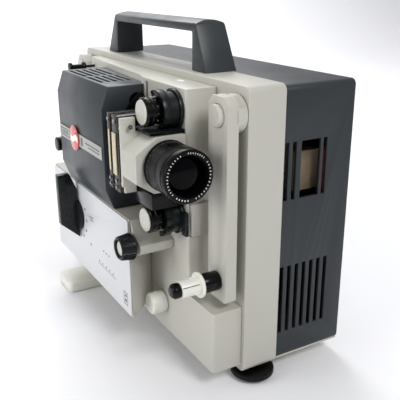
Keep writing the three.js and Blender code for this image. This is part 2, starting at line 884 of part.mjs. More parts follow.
function lensTube() {
  return turned("y", [
    [glassRadius + gap, lensFront + tubeInset], [frontTubeRadius, lensFront + tubeInset],
    [frontTubeRadius, zoomRear + gap], [tubeRadius, zoomRear + gap],
    [tubeRadius, carrierRear + carrierWall + 1], [tubeRadius - tubeWall, carrierRear + carrierWall + 1],
    [tubeRadius - tubeWall, lensFront + glassBore], [glassRadius + gap, lensFront + glassBore],
    [glassRadius + gap, lensFront + tubeInset],
  ], [opticX, opticZ], 36);
}

function lensBezel() {
  return turned("y", [
    [zoomRadius - bezelChamfer, lensFront], [zoomRadius, lensFront + bezelChamfer],
    [zoomRadius, lensFront + bezelLength], [frontTubeRadius + gap, lensFront + bezelLength],
    [frontTubeRadius + gap, lensFront + bezelDepth], [zoomRadius - bezelMouth - 1, lensFront + bezelDepth],
    [zoomRadius - bezelMouth, lensFront], [zoomRadius - bezelChamfer, lensFront],
  ], [opticX, opticZ], 36);
}

function frontLens() {
  const rim = glassRadius;
  const rear = lensFront + glassBore - 1.5;
  return turned("y", [
    [0, lensFront + 5], [rim * 0.6, lensFront + 6], [rim, lensFront + 8.5], [rim, rear], [0, rear],
  ], [opticX, opticZ], 24);
}

piece("aperture_plate", "blackPlastic", gatePlate(apertureFront, apertureDepth));
piece("pressure_plate", "blackPlastic", gatePlate(plateFront, plateDepth));
piece("rear_film_rail", "cream", block(
  -gateReach - gap - railThickness, -gateReach - gap,
  apertureFront + 0.5, apertureFront + 3.5, opticZ - 16, opticZ + 20,
));
piece("front_film_rail", "cream", block(
  -gateReach - gap - railThickness, -gateReach - gap,
  plateFront + 4, plateRear - 1, opticZ - 18, opticZ + 19,
));
piece("lens_carrier", "lightShell", lensCarrier());
piece("lens_tube", "blackPlastic", lensTube());
piece("zoom_ring", "blackPlastic",
  tube("y", zoomRadius, frontTubeRadius + running, zoomFront, zoomRear, [opticX, opticZ], 36));
piece("lens_bezel", "blackPlastic", lensBezel());
piece("front_lens", "glass", frontLens());

// ---------------------------------------------------------------- sprockets, guides and roller

function sprocket(z) {
  const pulleyOuter = -toothedInner - beltWidth;
  return turned("x", [
    [0, -sprocketReach], [drumRadius, -sprocketReach], [drumRadius, -opticReach - 5],
    [trackRadius, -opticReach - 4.6], [trackRadius, -opticReach + 3.6], [drumRadius, -opticReach + 4],
    [drumRadius, -opticReach + 6], [shaftRadius, -opticReach + 6],
    [shaftRadius, pulleyOuter - 0.6], [toothedPulley, pulleyOuter - 0.6],
    [toothedPulley, -toothedInner + 0.6], [shaftRadius, -toothedInner + 0.6], [shaftRadius, -5], [0, -5],
  ], [sprocketY, z]);
}

const sprocketCap = (z) => turned("x", [
  [0, -sprocketReach - gap - capThickness], [capRadius - 0.8, -sprocketReach - gap - capThickness],
  [capRadius, -sprocketReach - gap - capThickness + 0.6], [capRadius, -sprocketReach - gap],
  [0, -sprocketReach - gap],
], [sprocketY, z]);

// A guide curved around a sprocket, from one angle to another, with a rim at each side.
function filmGuide(z, from, to) {
  const centre = [sprocketY, z];
  const outer = -guideReach;
  const inner = -deckReach - running;
  const middle = guideRadius - guideWall;
  return join(
    prismX(sector(centre, middle - guideWall, middle, from, to, 12), outer, inner),
    prismX(sector(centre, drumRadius + running, guideRadius, from, to, 12), outer - guidePlate, outer + 1),
    ...[outer, inner - 3].map((x) =>
      prismX(sector(centre, middle - guideWall, guideRadius, from, to, 12), x, x + 3)),
  );
}

const shoeTop = upperZ - drumRadius - shoeClearance;
const shoeBottom = opticZ + carrierUp + 0.6;
const lowerShoeBottom = lowerZ + drumRadius + shoeClearance;
const lowerShoeTop = opticZ - carrierDown - 2;

piece("upper_sprocket", "blackPlastic", sprocket(upperZ));
piece("upper_sprocket_cap", "silverPrint", sprocketCap(upperZ));
piece("upper_film_guide", "charcoal", join(
  filmGuide(upperZ, 60, 258),
  block(-shoeReach, -deckReach - running, shoeFront, shoeRear, shoeBottom, shoeTop),
));
piece("lower_sprocket", "blackPlastic", sprocket(lowerZ));
piece("lower_sprocket_cap", "silverPrint", sprocketCap(lowerZ));
piece("lower_film_guide", "charcoal", join(
  filmGuide(lowerZ, 115, 265),
  block(-shoeReach, -deckReach - running, shoeFront, shoeRear, lowerShoeBottom, lowerShoeTop),
  block(
    -deckReach - running - 3, -deckReach - running,
    sprocketY - guideRadius - finReach, sprocketY - guideRadius + 2,
    lowerZ - finHeight * 0.66, lowerZ + finHeight * 0.34,
  ),
));

function filmRoller() {
  const outer = -rollerReach;
  const inner = outer + rollerLength;
  return turned("x", [
    [0, outer], [rollerRadius, outer], [rollerRadius, outer + rollerFlange],
    [rollerCore, outer + rollerFlange + 1], [rollerCore, inner - rollerFlange - 1],
    [rollerRadius, inner - rollerFlange], [rollerRadius, inner],
    [rollerCore / 2, inner], [rollerCore / 2, -5], [0, -5],
  ], [rollerPlace[0], deckTop - rollerPlace[1]], 20);
}

piece("film_roller", "blackPlastic", filmRoller());

// ---------------------------------------------------------------- reel arms

function reelArm({ y, outer, inner }) {
  const half = armWidth / 2;
  const side = [
    [y - half, armBottom + 2], [y - half + 2, armBottom],
    [y + half - 2, armBottom], [y + half, armBottom + 2],
    [y + half, armTop - armChamfer], [y + half - armChamfer, armTop],
    [y - half + armChamfer, armTop], [y - half, armTop - armChamfer],
  ];
  return cut(
    join(
      prismX(side, -outer, -inner),
      rod("x", bossRadius, -inner - 1, -gap - running, [y, pivotZ]),
      rod("x", pinRadius, -1, pinLength, [y, pivotZ]),
    ),
    rod("x", armButtonRadius + running, -outer - 1, -outer + armPocket, [y, pivotZ]),
    rod("x", shaftRadius + running, -outer - 1, -inner + 1, [y, spindleZ]),
  );
}

const armButton = ({ y, outer }) => turned("x", [
  [0, -outer - armButtonProud], [armButtonRadius - 1, -outer - armButtonProud],
  [armButtonRadius, -outer - armButtonProud + 1], [armButtonRadius, -outer + armButtonDepth],
  [0, -outer + armButtonDepth],
], [y, pivotZ]);

// The black core: hub, the rod inside the sleeve, and the tip
function spindleCore({ y, outer, inner, hub }) {
  const hubEnd = -outer - gap - hub;
  const sleeveEnd = hubEnd - gap - flangeThickness - sleeveLength;
  return turned("x", [
    [0, sleeveEnd - gap - tipLength], [tipRadius - 2.2, sleeveEnd - gap - tipLength],
    [tipRadius, sleeveEnd - gap - tipLength + 2.6], [tipRadius, sleeveEnd - gap],
    [sleeveBore - running, sleeveEnd - gap], [sleeveBore - running, hubEnd],
    [hubRadius, hubEnd], [hubRadius, -outer - gap], [shaftRadius, -outer - gap],
    [shaftRadius, -inner - 0.5], [0, -inner - 0.5],
  ], [y, spindleZ], 24);
}

function spindleSleeve({ y, outer, hub }) {
  const inner = -outer - 2 * gap - hub;
  const flange = inner - flangeThickness;
  const end = flange - sleeveLength;
  return turned("x", [
    [sleeveBore, end], [sleeveRadius, end], [sleeveRadius, flange], [flangeRadius, flange],
    [flangeRadius, inner], [sleeveBore, inner], [sleeveBore, end],
  ], [y, spindleZ], 24);
}

const rearArmOuter = deckRearReach + rearArmProud;
const arms = {
  front: { y: armInset, outer: armOuter, inner: armOuter - armThickness, hub: hubLength },
  rear: {
    y: caseDepth - armInset, outer: rearArmOuter, inner: rearArmOuter - rearArmThickness, hub: rearHubLength,
  },
};
for (const [end, arm] of Object.entries(arms)) {
  piece(`${end}_reel_arm`, "lightShell", reelArm(arm));
  piece(`${end}_arm_button`, "lightShell", armButton(arm));
  piece(`${end}_spindle_core`, "blackPlastic", spindleCore(arm));
  piece(`${end}_spindle_sleeve`, "whitePlastic", spindleSleeve(arm));
}

// ---------------------------------------------------------------- feet

const wheelBottom = -footHeight + padHeight + gap;
const wheelTop = wheelBottom + wheelHeight;
piece("elevating_wheel", "blackPlastic", turned("z", [
  [0, wheelBottom], [wheelRadius - 2, wheelBottom], [wheelRadius, wheelBottom + 2], [wheelRadius, wheelTop],
  [screwRadius, wheelTop], [screwRadius, screwLength], [0, screwLength],
], footPlace, 36));
piece("foot_pad", "rubber", rod("z", padRadius, -footHeight, -footHeight + padHeight, footPlace));

const rubberPlaces = {
  rear_left_foot: [footPlace[0], caseDepth - rubberInset, -gap],
  rear_right_foot: [coverEnd - footPlace[0], caseDepth - rubberInset, coverFloor - gap],
  front_right_foot: [coverEnd - footPlace[0], 2 * rubberInset, coverFloor - gap],
};
for (const [name, [x, y, top]] of Object.entries(rubberPlaces)) {
  piece(name, "rubber", turned("z", [
    [0, -footHeight], [rubberRadius - 1, -footHeight], [rubberRadius, top], [0, top],
  ], [x, y], 20));
}

piece("stabiliser_foot", "whitePlastic", prismZ(
  rounded([
    [-barReach, caseDepth - barPivot[1] - barWidth / 2, 6],
    [barPivot[0] + barWidth / 2, caseDepth - barPivot[1] - barWidth / 2, barWidth / 2 - 1],
    [barPivot[0] + barWidth / 2, caseDepth - barPivot[1] + barWidth / 2, barWidth / 2 - 1],
    [-barReach, caseDepth - barPivot[1] + barWidth / 2, 6],
  ], 0, 5),
  -gap - barThickness, -gap,
));

// ---------------------------------------------------------------- drive

const wormWheelZ = mainZ - wormRadius - wheelPitchRadius - gap;
const pulleyEnds = [-toothedInner - beltWidth - 0.6, -toothedInner + 0.6];

piece("shutter_shaft", "steel", turned("y", [
  [0, mainFront], [shaftRadius, mainFront], [shaftRadius, wormPlace - 9], [wormRadius, wormPlace - 9],
  [wormRadius, wormPlace + 9], [shaftRadius, wormPlace + 9], [shaftRadius, beltPlace - 0.6],
  [mainPulley, beltPlace - 0.6], [mainPulley, beltPlace + beltWidth + 0.6],
  [shaftRadius, beltPlace + beltWidth + 0.6], [shaftRadius, mainFront + mainLength],
  [0, mainFront + mainLength],
], [mainX, mainZ], 20));

// Three blades around a hub that fits over the shaft
function shutterDisc() {
  const centre = [mainX, mainZ];
  const blades = [0, 120, 240].map((turn) =>
    prismY(
      [...arc(centre, shutterRadius, turn, turn + 70, 10), ...arc(centre, 8, turn + 70, turn, 4)],
      shutterPlace, shutterPlace + shutterThickness,
    ));
  return cut(
    join(rod("y", 10, shutterPlace, shutterPlace + shutterThickness + 1, centre), ...blades),
    rod("y", shaftRadius + gap, shutterPlace - 1, shutterPlace + shutterThickness + 3, centre, 20),
  );
}

piece("shutter", "blackPlastic", shutterDisc());
piece("worm_wheel", "brass", turned("x", [
  [0, pulleyEnds[0]], [toothedPulley, pulleyEnds[0]], [toothedPulley, pulleyEnds[1]],
  [shaftRadius, pulleyEnds[1]], [shaftRadius, mainX - wheelThickness / 2],
  [wheelPitchRadius, mainX - wheelThickness / 2], [wheelPitchRadius, mainX + wheelThickness / 2],
  [shaftRadius, mainX + wheelThickness / 2], [shaftRadius, -2], [0, -2],
], [wormPlace, wormWheelZ], 24));
piece("sprocket_belt", "rubber", beltLoop(prismX, [
  [sprocketY, upperZ, toothedPulley], [sprocketY, lowerZ, toothedPulley],
  [wormPlace, wormWheelZ, toothedPulley],
], -toothedInner - beltWidth, -toothedInner));

const motorEnds = [motorFront, motorFront + motorLength];
piece("motor", "steel", tube("y", motorRadius, shaftRadius + running, ...motorEnds, motorPlace));
piece("motor_shaft", "steel", turned("y", [
  [0, beltPlace - 2], [motorPulley, beltPlace - 2], [motorPulley, beltPlace + beltWidth + 0.6],
  [shaftRadius, beltPlace + beltWidth + 0.6], [shaftRadius, motorEnds[1] + fanLength + 6],
  [0, motorEnds[1] + fanLength + 6],
], motorPlace, 20));
piece("drive_belt", "rubber", beltLoop(prismY, [
  [mainX, mainZ, mainPulley], [...motorPlace, motorPulley],
], beltPlace, beltPlace + beltWidth));

function coolingFan() {
  const front = motorEnds[1] + 4;
  const blades = [];
  for (let i = 0; i < fanBlades; i++) {
    const blade = block(6, fanRadius, 0, fanLength - 2, -0.9, 0.9);
    blade.rotateY((2 * Math.PI * i) / fanBlades);
    blade.translate(motorPlace[0], front + 1, motorPlace[1]);
    blades.push(blade);
  }
  return cut(
    join(
      rod("y", 9, front, front + fanLength, motorPlace, 20),
      rod("y", fanRadius - 2, front, front + 1.6, motorPlace, 28),
      ...blades,
    ),
    rod("y", shaftRadius + gap, front - 1, front + fanLength + 1, motorPlace, 20),
  );
}

piece("cooling_fan", "blackPlastic", coolingFan());

// ---------------------------------------------------------------- electrical pieces

const coreX = [corePlace[0] - coreSize[0] / 2, corePlace[0] + coreSize[0] / 2];
const coreY = [corePlace[1] - coreSize[1] / 2 + coilOverhang, corePlace[1] + coreSize[1] / 2 - coilOverhang];
const coreZ = [corePlace[2] - coreSize[2] / 2, corePlace[2] + coreSize[2] / 2];
const limbZ = [corePlace[2] - coreLimb / 2, corePlace[2] + coreLimb / 2];
const windowX = [coreX[0] + 7, coreX[1] - 7];

piece("transformer_core", "steel", cut(
  block(...coreX, ...coreY, ...coreZ),
  block(...windowX, coreY[0] - 1, coreY[1] + 1, limbZ[1], limbZ[1] + coreWindow),
  block(...windowX, coreY[0] - 1, coreY[1] + 1, limbZ[0] - coreWindow, limbZ[0]),
));
piece("transformer_coil", "paper", cut(
  block(
    windowX[0] + gap, windowX[1] - gap, corePlace[1] - coreSize[1] / 2, corePlace[1] + coreSize[1] / 2,
    limbZ[0] - coreWindow + gap, limbZ[1] + coreWindow - gap,
  ),
  block(
    windowX[0] - 1, windowX[1] + 1, coreY[0] - gap, coreY[1] + gap, limbZ[0] - gap, limbZ[1] + gap,
  ),
));
piece("circuit_board", "board", block(
  boardPlace, boardPlace + boardSize[0],
  coverRear - coverWall - 20 - boardSize[1], coverRear - coverWall - 20,
  caseHeight - 30 - boardSize[2], caseHeight - 30,
));
piece("capacitor", "redPlastic", rod(
  "z", capacitorRadius, highVent[0] - 8, highVent[0] - 8 + capacitorLength,
  [coverEnd - coverWall - capacitorRadius - 8, coverFront + coverWall + capacitorRadius + 1.5], 24,
));
piece("loudspeaker", "blackPlastic", turned("x", [
  [0, coverEnd - coverWall - gap - speakerDepth], [16, coverEnd - coverWall - gap - speakerDepth],
  [16, coverEnd - coverWall - gap - speakerDepth + 9], [speakerRadius - 3, coverEnd - coverWall - gap - 3],
  [speakerRadius, coverEnd - coverWall - gap - 3], [speakerRadius, coverEnd - coverWall - gap],
  [speakerRadius - 4, coverEnd - coverWall - gap], [12, coverEnd - coverWall - gap - 12],
  [0, coverEnd - coverWall - gap - 12],
], speakerPlace));

function mainsInlet() {
  const [x, z] = inletPlace;
  const [halfX, halfZ] = [inletSize[0] / 2, inletSize[1] / 2];
  const face = coverRear - 0.5;
  const pins = [-7, 0, 7].map((shift) =>
    block(x + shift - 1, x + shift + 1, face - inletDepth + 1, face - 9, z - 2.5, z + 2.5));
  return join(
    cut(
      block(x - halfX, x + halfX, face - inletDepth, face, z - halfZ, z + halfZ),
      block(x - halfX + 3, x + halfX - 3, face - inletDepth + 3, face + 1, z - halfZ + 3, z + halfZ - 3),
    ),
    ...pins,
  );
}

piece("mains_inlet", "blackPlastic", mainsInlet());

// ---------------------------------------------------------------- origin at the centre of the footprint

const bounds = new THREE.Box3().setFromObject(projector);
const middle = bounds.getCenter(new THREE.Vector3());
projector.position.set(-middle.x, -middle.y, -bounds.min.z);

export default projector;
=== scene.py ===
"""Looks of a portable sound film projector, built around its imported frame.

Lengths are millimetres in the row frame, and become metres when a mesh is made.
"""

import json
import math

import bmesh
import bpy
from mathutils import Matrix, Vector
from mathutils.bvhtree import BVHTree

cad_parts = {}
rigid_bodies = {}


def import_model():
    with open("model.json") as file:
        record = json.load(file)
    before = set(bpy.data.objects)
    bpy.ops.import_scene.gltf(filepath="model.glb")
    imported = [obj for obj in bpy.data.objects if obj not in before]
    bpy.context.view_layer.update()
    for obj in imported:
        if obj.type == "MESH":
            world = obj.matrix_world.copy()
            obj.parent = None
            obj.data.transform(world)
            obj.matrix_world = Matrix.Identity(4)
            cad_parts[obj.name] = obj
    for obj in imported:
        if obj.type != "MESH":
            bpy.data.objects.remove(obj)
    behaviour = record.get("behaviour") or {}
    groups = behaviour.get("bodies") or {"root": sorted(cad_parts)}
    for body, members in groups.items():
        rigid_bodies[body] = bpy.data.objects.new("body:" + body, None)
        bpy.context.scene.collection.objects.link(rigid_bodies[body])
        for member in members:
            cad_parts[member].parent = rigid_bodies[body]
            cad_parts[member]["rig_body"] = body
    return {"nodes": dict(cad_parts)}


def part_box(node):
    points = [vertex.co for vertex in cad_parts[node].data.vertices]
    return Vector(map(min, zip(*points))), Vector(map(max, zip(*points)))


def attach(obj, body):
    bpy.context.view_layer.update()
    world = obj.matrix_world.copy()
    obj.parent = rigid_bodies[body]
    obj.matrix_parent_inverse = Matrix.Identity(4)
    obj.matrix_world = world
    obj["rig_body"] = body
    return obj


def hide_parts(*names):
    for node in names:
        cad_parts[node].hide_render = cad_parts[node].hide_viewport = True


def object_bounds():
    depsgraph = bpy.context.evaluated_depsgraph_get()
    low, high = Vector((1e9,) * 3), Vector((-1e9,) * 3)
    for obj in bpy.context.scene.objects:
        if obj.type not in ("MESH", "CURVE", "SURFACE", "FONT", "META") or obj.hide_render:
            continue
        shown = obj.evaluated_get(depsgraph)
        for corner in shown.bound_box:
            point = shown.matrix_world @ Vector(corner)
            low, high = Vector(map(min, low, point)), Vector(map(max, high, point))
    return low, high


bl_info = {
    "name": "Film projector looks",
    "version": (1, 0, 0),
    "blender": (4, 5, 0),
    "location": "View3D > Sidebar > Projector",
    "description": "Finishes and fine detail of a portable sound film projector",
    "category": "Object",
}

MM = 0.001
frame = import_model()
cad_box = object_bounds()


# ---------------------------------------------------------------- settings


def colour_setting(name, what, default):
    """A setting that holds a colour as sRGB hex."""
    return bpy.props.StringProperty(name=name, description=f"Colour of {what}, sRGB hex", default=default)


def length_setting(name, description, millimetres):
    """A setting that holds a length."""
    return bpy.props.FloatProperty(
        name=name, description=description, default=millimetres * MM, unit="LENGTH"
    )


class CaseSettings(bpy.types.PropertyGroup):
    """Finishes and edges of the case"""

    light_enamel: colour_setting("Light enamel", "the cast housings", "BEBCB2")
    dark_moulding: colour_setting("Dark moulding", "the rear cover", "303437")
    slate_enamel: colour_setting("Slate enamel", "the lamp house", "252C30")
    handle_moulding: colour_setting("Handle moulding", "the handle", "34393C")
    edge_radius: length_setting("Edge radius", "Rounding of the housings' edges", 1.0)
    band_radius: length_setting("Band radius", "Rounding of the band's outer rim", 3.2)
    trim_height: length_setting("Trim height", "Height of the light trim under the cover", 1.6)


class LensSettings(bpy.types.PropertyGroup):
    """Lens barrel and its rings"""

    tick_length: length_setting("Mark length", "Length of a mark on the front ring", 1.6)
    rib_count: bpy.props.IntProperty(
        name="Grip ribs", description="Ribs around the zoom ring", default=72, min=3
    )
    rib_height: length_setting("Rib height", "How far a grip rib stands out", 0.22)
    scale_count: bpy.props.IntProperty(
        name="Scale marks", description="Marks of the zoom scale", default=9, min=2
    )


class FilmPathSettings(bpy.types.PropertyGroup):
    """Sprockets, guides, gate and roller"""

    tooth_count: bpy.props.IntProperty(
        name="Sprocket teeth", description="Teeth around a sprocket", default=12, min=3
    )
    tooth_height: length_setting("Tooth height", "Height of a tooth above the track", 1.3)
    screw_radius: length_setting("Screw radius", "Radius of a gate screw's head", 1.7)


class ControlSettings(bpy.types.PropertyGroup):
    """Knobs, levers and the printed panel"""

    panel_enamel: colour_setting("Panel face", "the printed panel", "D6D7D9")
    knob_ribs: bpy.props.IntProperty(
        name="Knob ribs", description="Ribs around the conical knob", default=36, min=3
    )
    print_colour: colour_setting("Print", "the printed marks", "4B4E50")
    badge_colour: colour_setting("Badge", "the round badge", "C8312B")


class FootSettings(bpy.types.PropertyGroup):
    """Feet under the case"""

    knurl_count: bpy.props.IntProperty(
        name="Knurls", description="Ribs around the levelling wheel", default=48, min=3
    )
    knurl_height: length_setting("Knurl height", "How far a rib of the wheel stands out", 0.7)


class StageSettings(bpy.types.PropertyGroup):
    """Camera, floor and lights"""

    azimuth: bpy.props.FloatProperty(
        name="Azimuth", description="Direction of the camera around the object",
        default=math.radians(-29.8), subtype="ANGLE",
    )
    elevation: bpy.props.FloatProperty(
        name="Elevation", description="Height of the camera as an angle",
        default=math.radians(19.5), subtype="ANGLE",
    )
    roll: bpy.props.FloatProperty(
        name="Roll", description="Turn of the camera about its own axis",
        default=math.radians(-0.24), subtype="ANGLE",
    )
    distance: bpy.props.FloatProperty(
        name="Distance", description="Camera to the plane of the object's middle", default=0.645,
        unit="LENGTH",
    )
    aim_right: bpy.props.FloatProperty(
        name="Aim right", description="Aim, to the right of the object's middle", default=0.0368,
        unit="LENGTH",
    )
    aim_up: bpy.props.FloatProperty(
        name="Aim up", description="Aim, above the object's middle", default=-0.031, unit="LENGTH"
    )
    lens: bpy.props.FloatProperty(
        name="Focal length", description="Camera's focal length in millimetres", default=56.3
    )
    floor: colour_setting("Floor", "the floor and backdrop", "F4F4F6")


SETTINGS = {
    "projector_case": CaseSettings,
    "projector_lens": LensSettings,
    "projector_film_path": FilmPathSettings,
    "projector_controls": ControlSettings,
    "projector_feet": FootSettings,
    "projector_stage": StageSettings,
}


# ---------------------------------------------------------------- materials


def linear(hex_colour):
    """An sRGB hex colour as linear red, green, blue and alpha."""
    channels = [int(hex_colour[i : i + 2], 16) / 255 for i in (0, 2, 4)]
    return [c / 12.92 if c <= 0.04045 else ((c + 0.055) / 1.055) ** 2.4 for c in channels] + [1.0]


def shade(colour, factor):
    """A linear colour made lighter or darker."""
    return [min(1.0, c * factor) for c in colour[:3]] + [1.0]


def add_node(tree, kind, inputs=None, **settings):
    """Adds a node, with its settings, and gives each named input a value or another node's output."""
    node = tree.nodes.new(kind)
    for name, value in settings.items():
        setattr(node, name, value)
    for socket, value in (inputs or {}).items():
        target = node.inputs[socket]
        if isinstance(value, bpy.types.NodeSocket):
            tree.links.new(value, target)
        else:
            target.default_value = value
    return node


def surface(name, colour, roughness, grain_mm, relief_mm, **extra):
    """A material whose tone, gloss and relief vary at the sizes given, in millimetres.

    tone is how much the colour varies over patches of blotch_mm, gloss how much the roughness does,
    stretch the direction of a grain, flecks the share of pale dust specks, shine the shader's specular
    level and sockets its other values.
    """
    tone = extra.get("tone", 0.04)
    material = bpy.data.materials.new(name)
    material.use_nodes = True
    tree = material.node_tree
    tree.nodes.clear()
    place = add_node(tree, "ShaderNodeTexCoord").outputs["Object"]
    fitted = add_node(
        tree, "ShaderNodeMapping", {"Vector": place, "Scale": extra.get("stretch", (1, 1, 1))}
    ).outputs["Vector"]
    blotches = add_node(
        tree, "ShaderNodeTexNoise",
        {"Vector": place, "Scale": 1 / (extra.get("blotch_mm", 40) * MM), "Detail": 3.0},
    ).outputs["Fac"]
    grain = add_node(
        tree, "ShaderNodeTexNoise",
        {"Vector": fitted, "Scale": 1 / (grain_mm * MM), "Detail": 2.0, "Roughness": 0.6},
    ).outputs["Fac"]
    base = linear(colour)
    ramp = add_node(tree, "ShaderNodeValToRGB", {"Fac": blotches})
    ramp.color_ramp.elements[0].position = 0.3
    ramp.color_ramp.elements[0].color = shade(base, 1 - tone)
    ramp.color_ramp.elements[1].position = 0.7
    ramp.color_ramp.elements[1].color = shade(base, 1 + tone)
    tint = ramp.outputs["Color"]
    speckle = add_node(tree, "ShaderNodeMix", {"Factor": grain}, data_type="RGBA")
    speckle.inputs[6].default_value = shade(base, 1 - tone)
    speckle.inputs[7].default_value = shade(base, 1 + tone)
    mixed = add_node(tree, "ShaderNodeMix", {"Factor": 0.4}, data_type="RGBA")
    tree.links.new(tint, mixed.inputs[6])
    tree.links.new(speckle.outputs[2], mixed.inputs[7])
    final = mixed.outputs[2]
    if extra.get("flecks"):
        dust = add_node(
            tree, "ShaderNodeTexNoise", {"Vector": place, "Scale": 1 / (2.2 * MM), "Detail": 4.0}
        ).outputs["Fac"]
        mask = add_node(
            tree, "ShaderNodeMapRange",
            {"Value": dust, "From Min": 0.72, "From Max": 0.76, "To Min": 0.0, "To Max": extra["flecks"]},
        ).outputs["Result"]
        dusty = add_node(tree, "ShaderNodeMix", {"Factor": mask}, data_type="RGBA")
        tree.links.new(final, dusty.inputs[6])
        dusty.inputs[7].default_value = linear("B9BDBE")
        final = dusty.outputs[2]
    gloss = extra.get("gloss", 0.05)
    rough = add_node(
        tree, "ShaderNodeMapRange",
        {
            "Value": blotches, "From Min": 0.3, "From Max": 0.7,
            "To Min": max(0.02, roughness - gloss), "To Max": min(1.0, roughness + gloss),
        },
    ).outputs["Result"]
    bump = add_node(
        tree, "ShaderNodeBump", {"Height": grain, "Strength": 1.0, "Distance": relief_mm * MM}
    ).outputs["Normal"]
    sockets = dict(extra.get("sockets", {}))
    if "shine" in extra:
        sockets["Specular IOR Level"] = extra["shine"]
    shader = add_node(
        tree, "ShaderNodeBsdfPrincipled",
        {"Base Color": final, "Roughness": rough, "Normal": bump, **sockets},
    )
    add_node(tree, "ShaderNodeOutputMaterial", {"Surface": shader.outputs["BSDF"]})
    return material


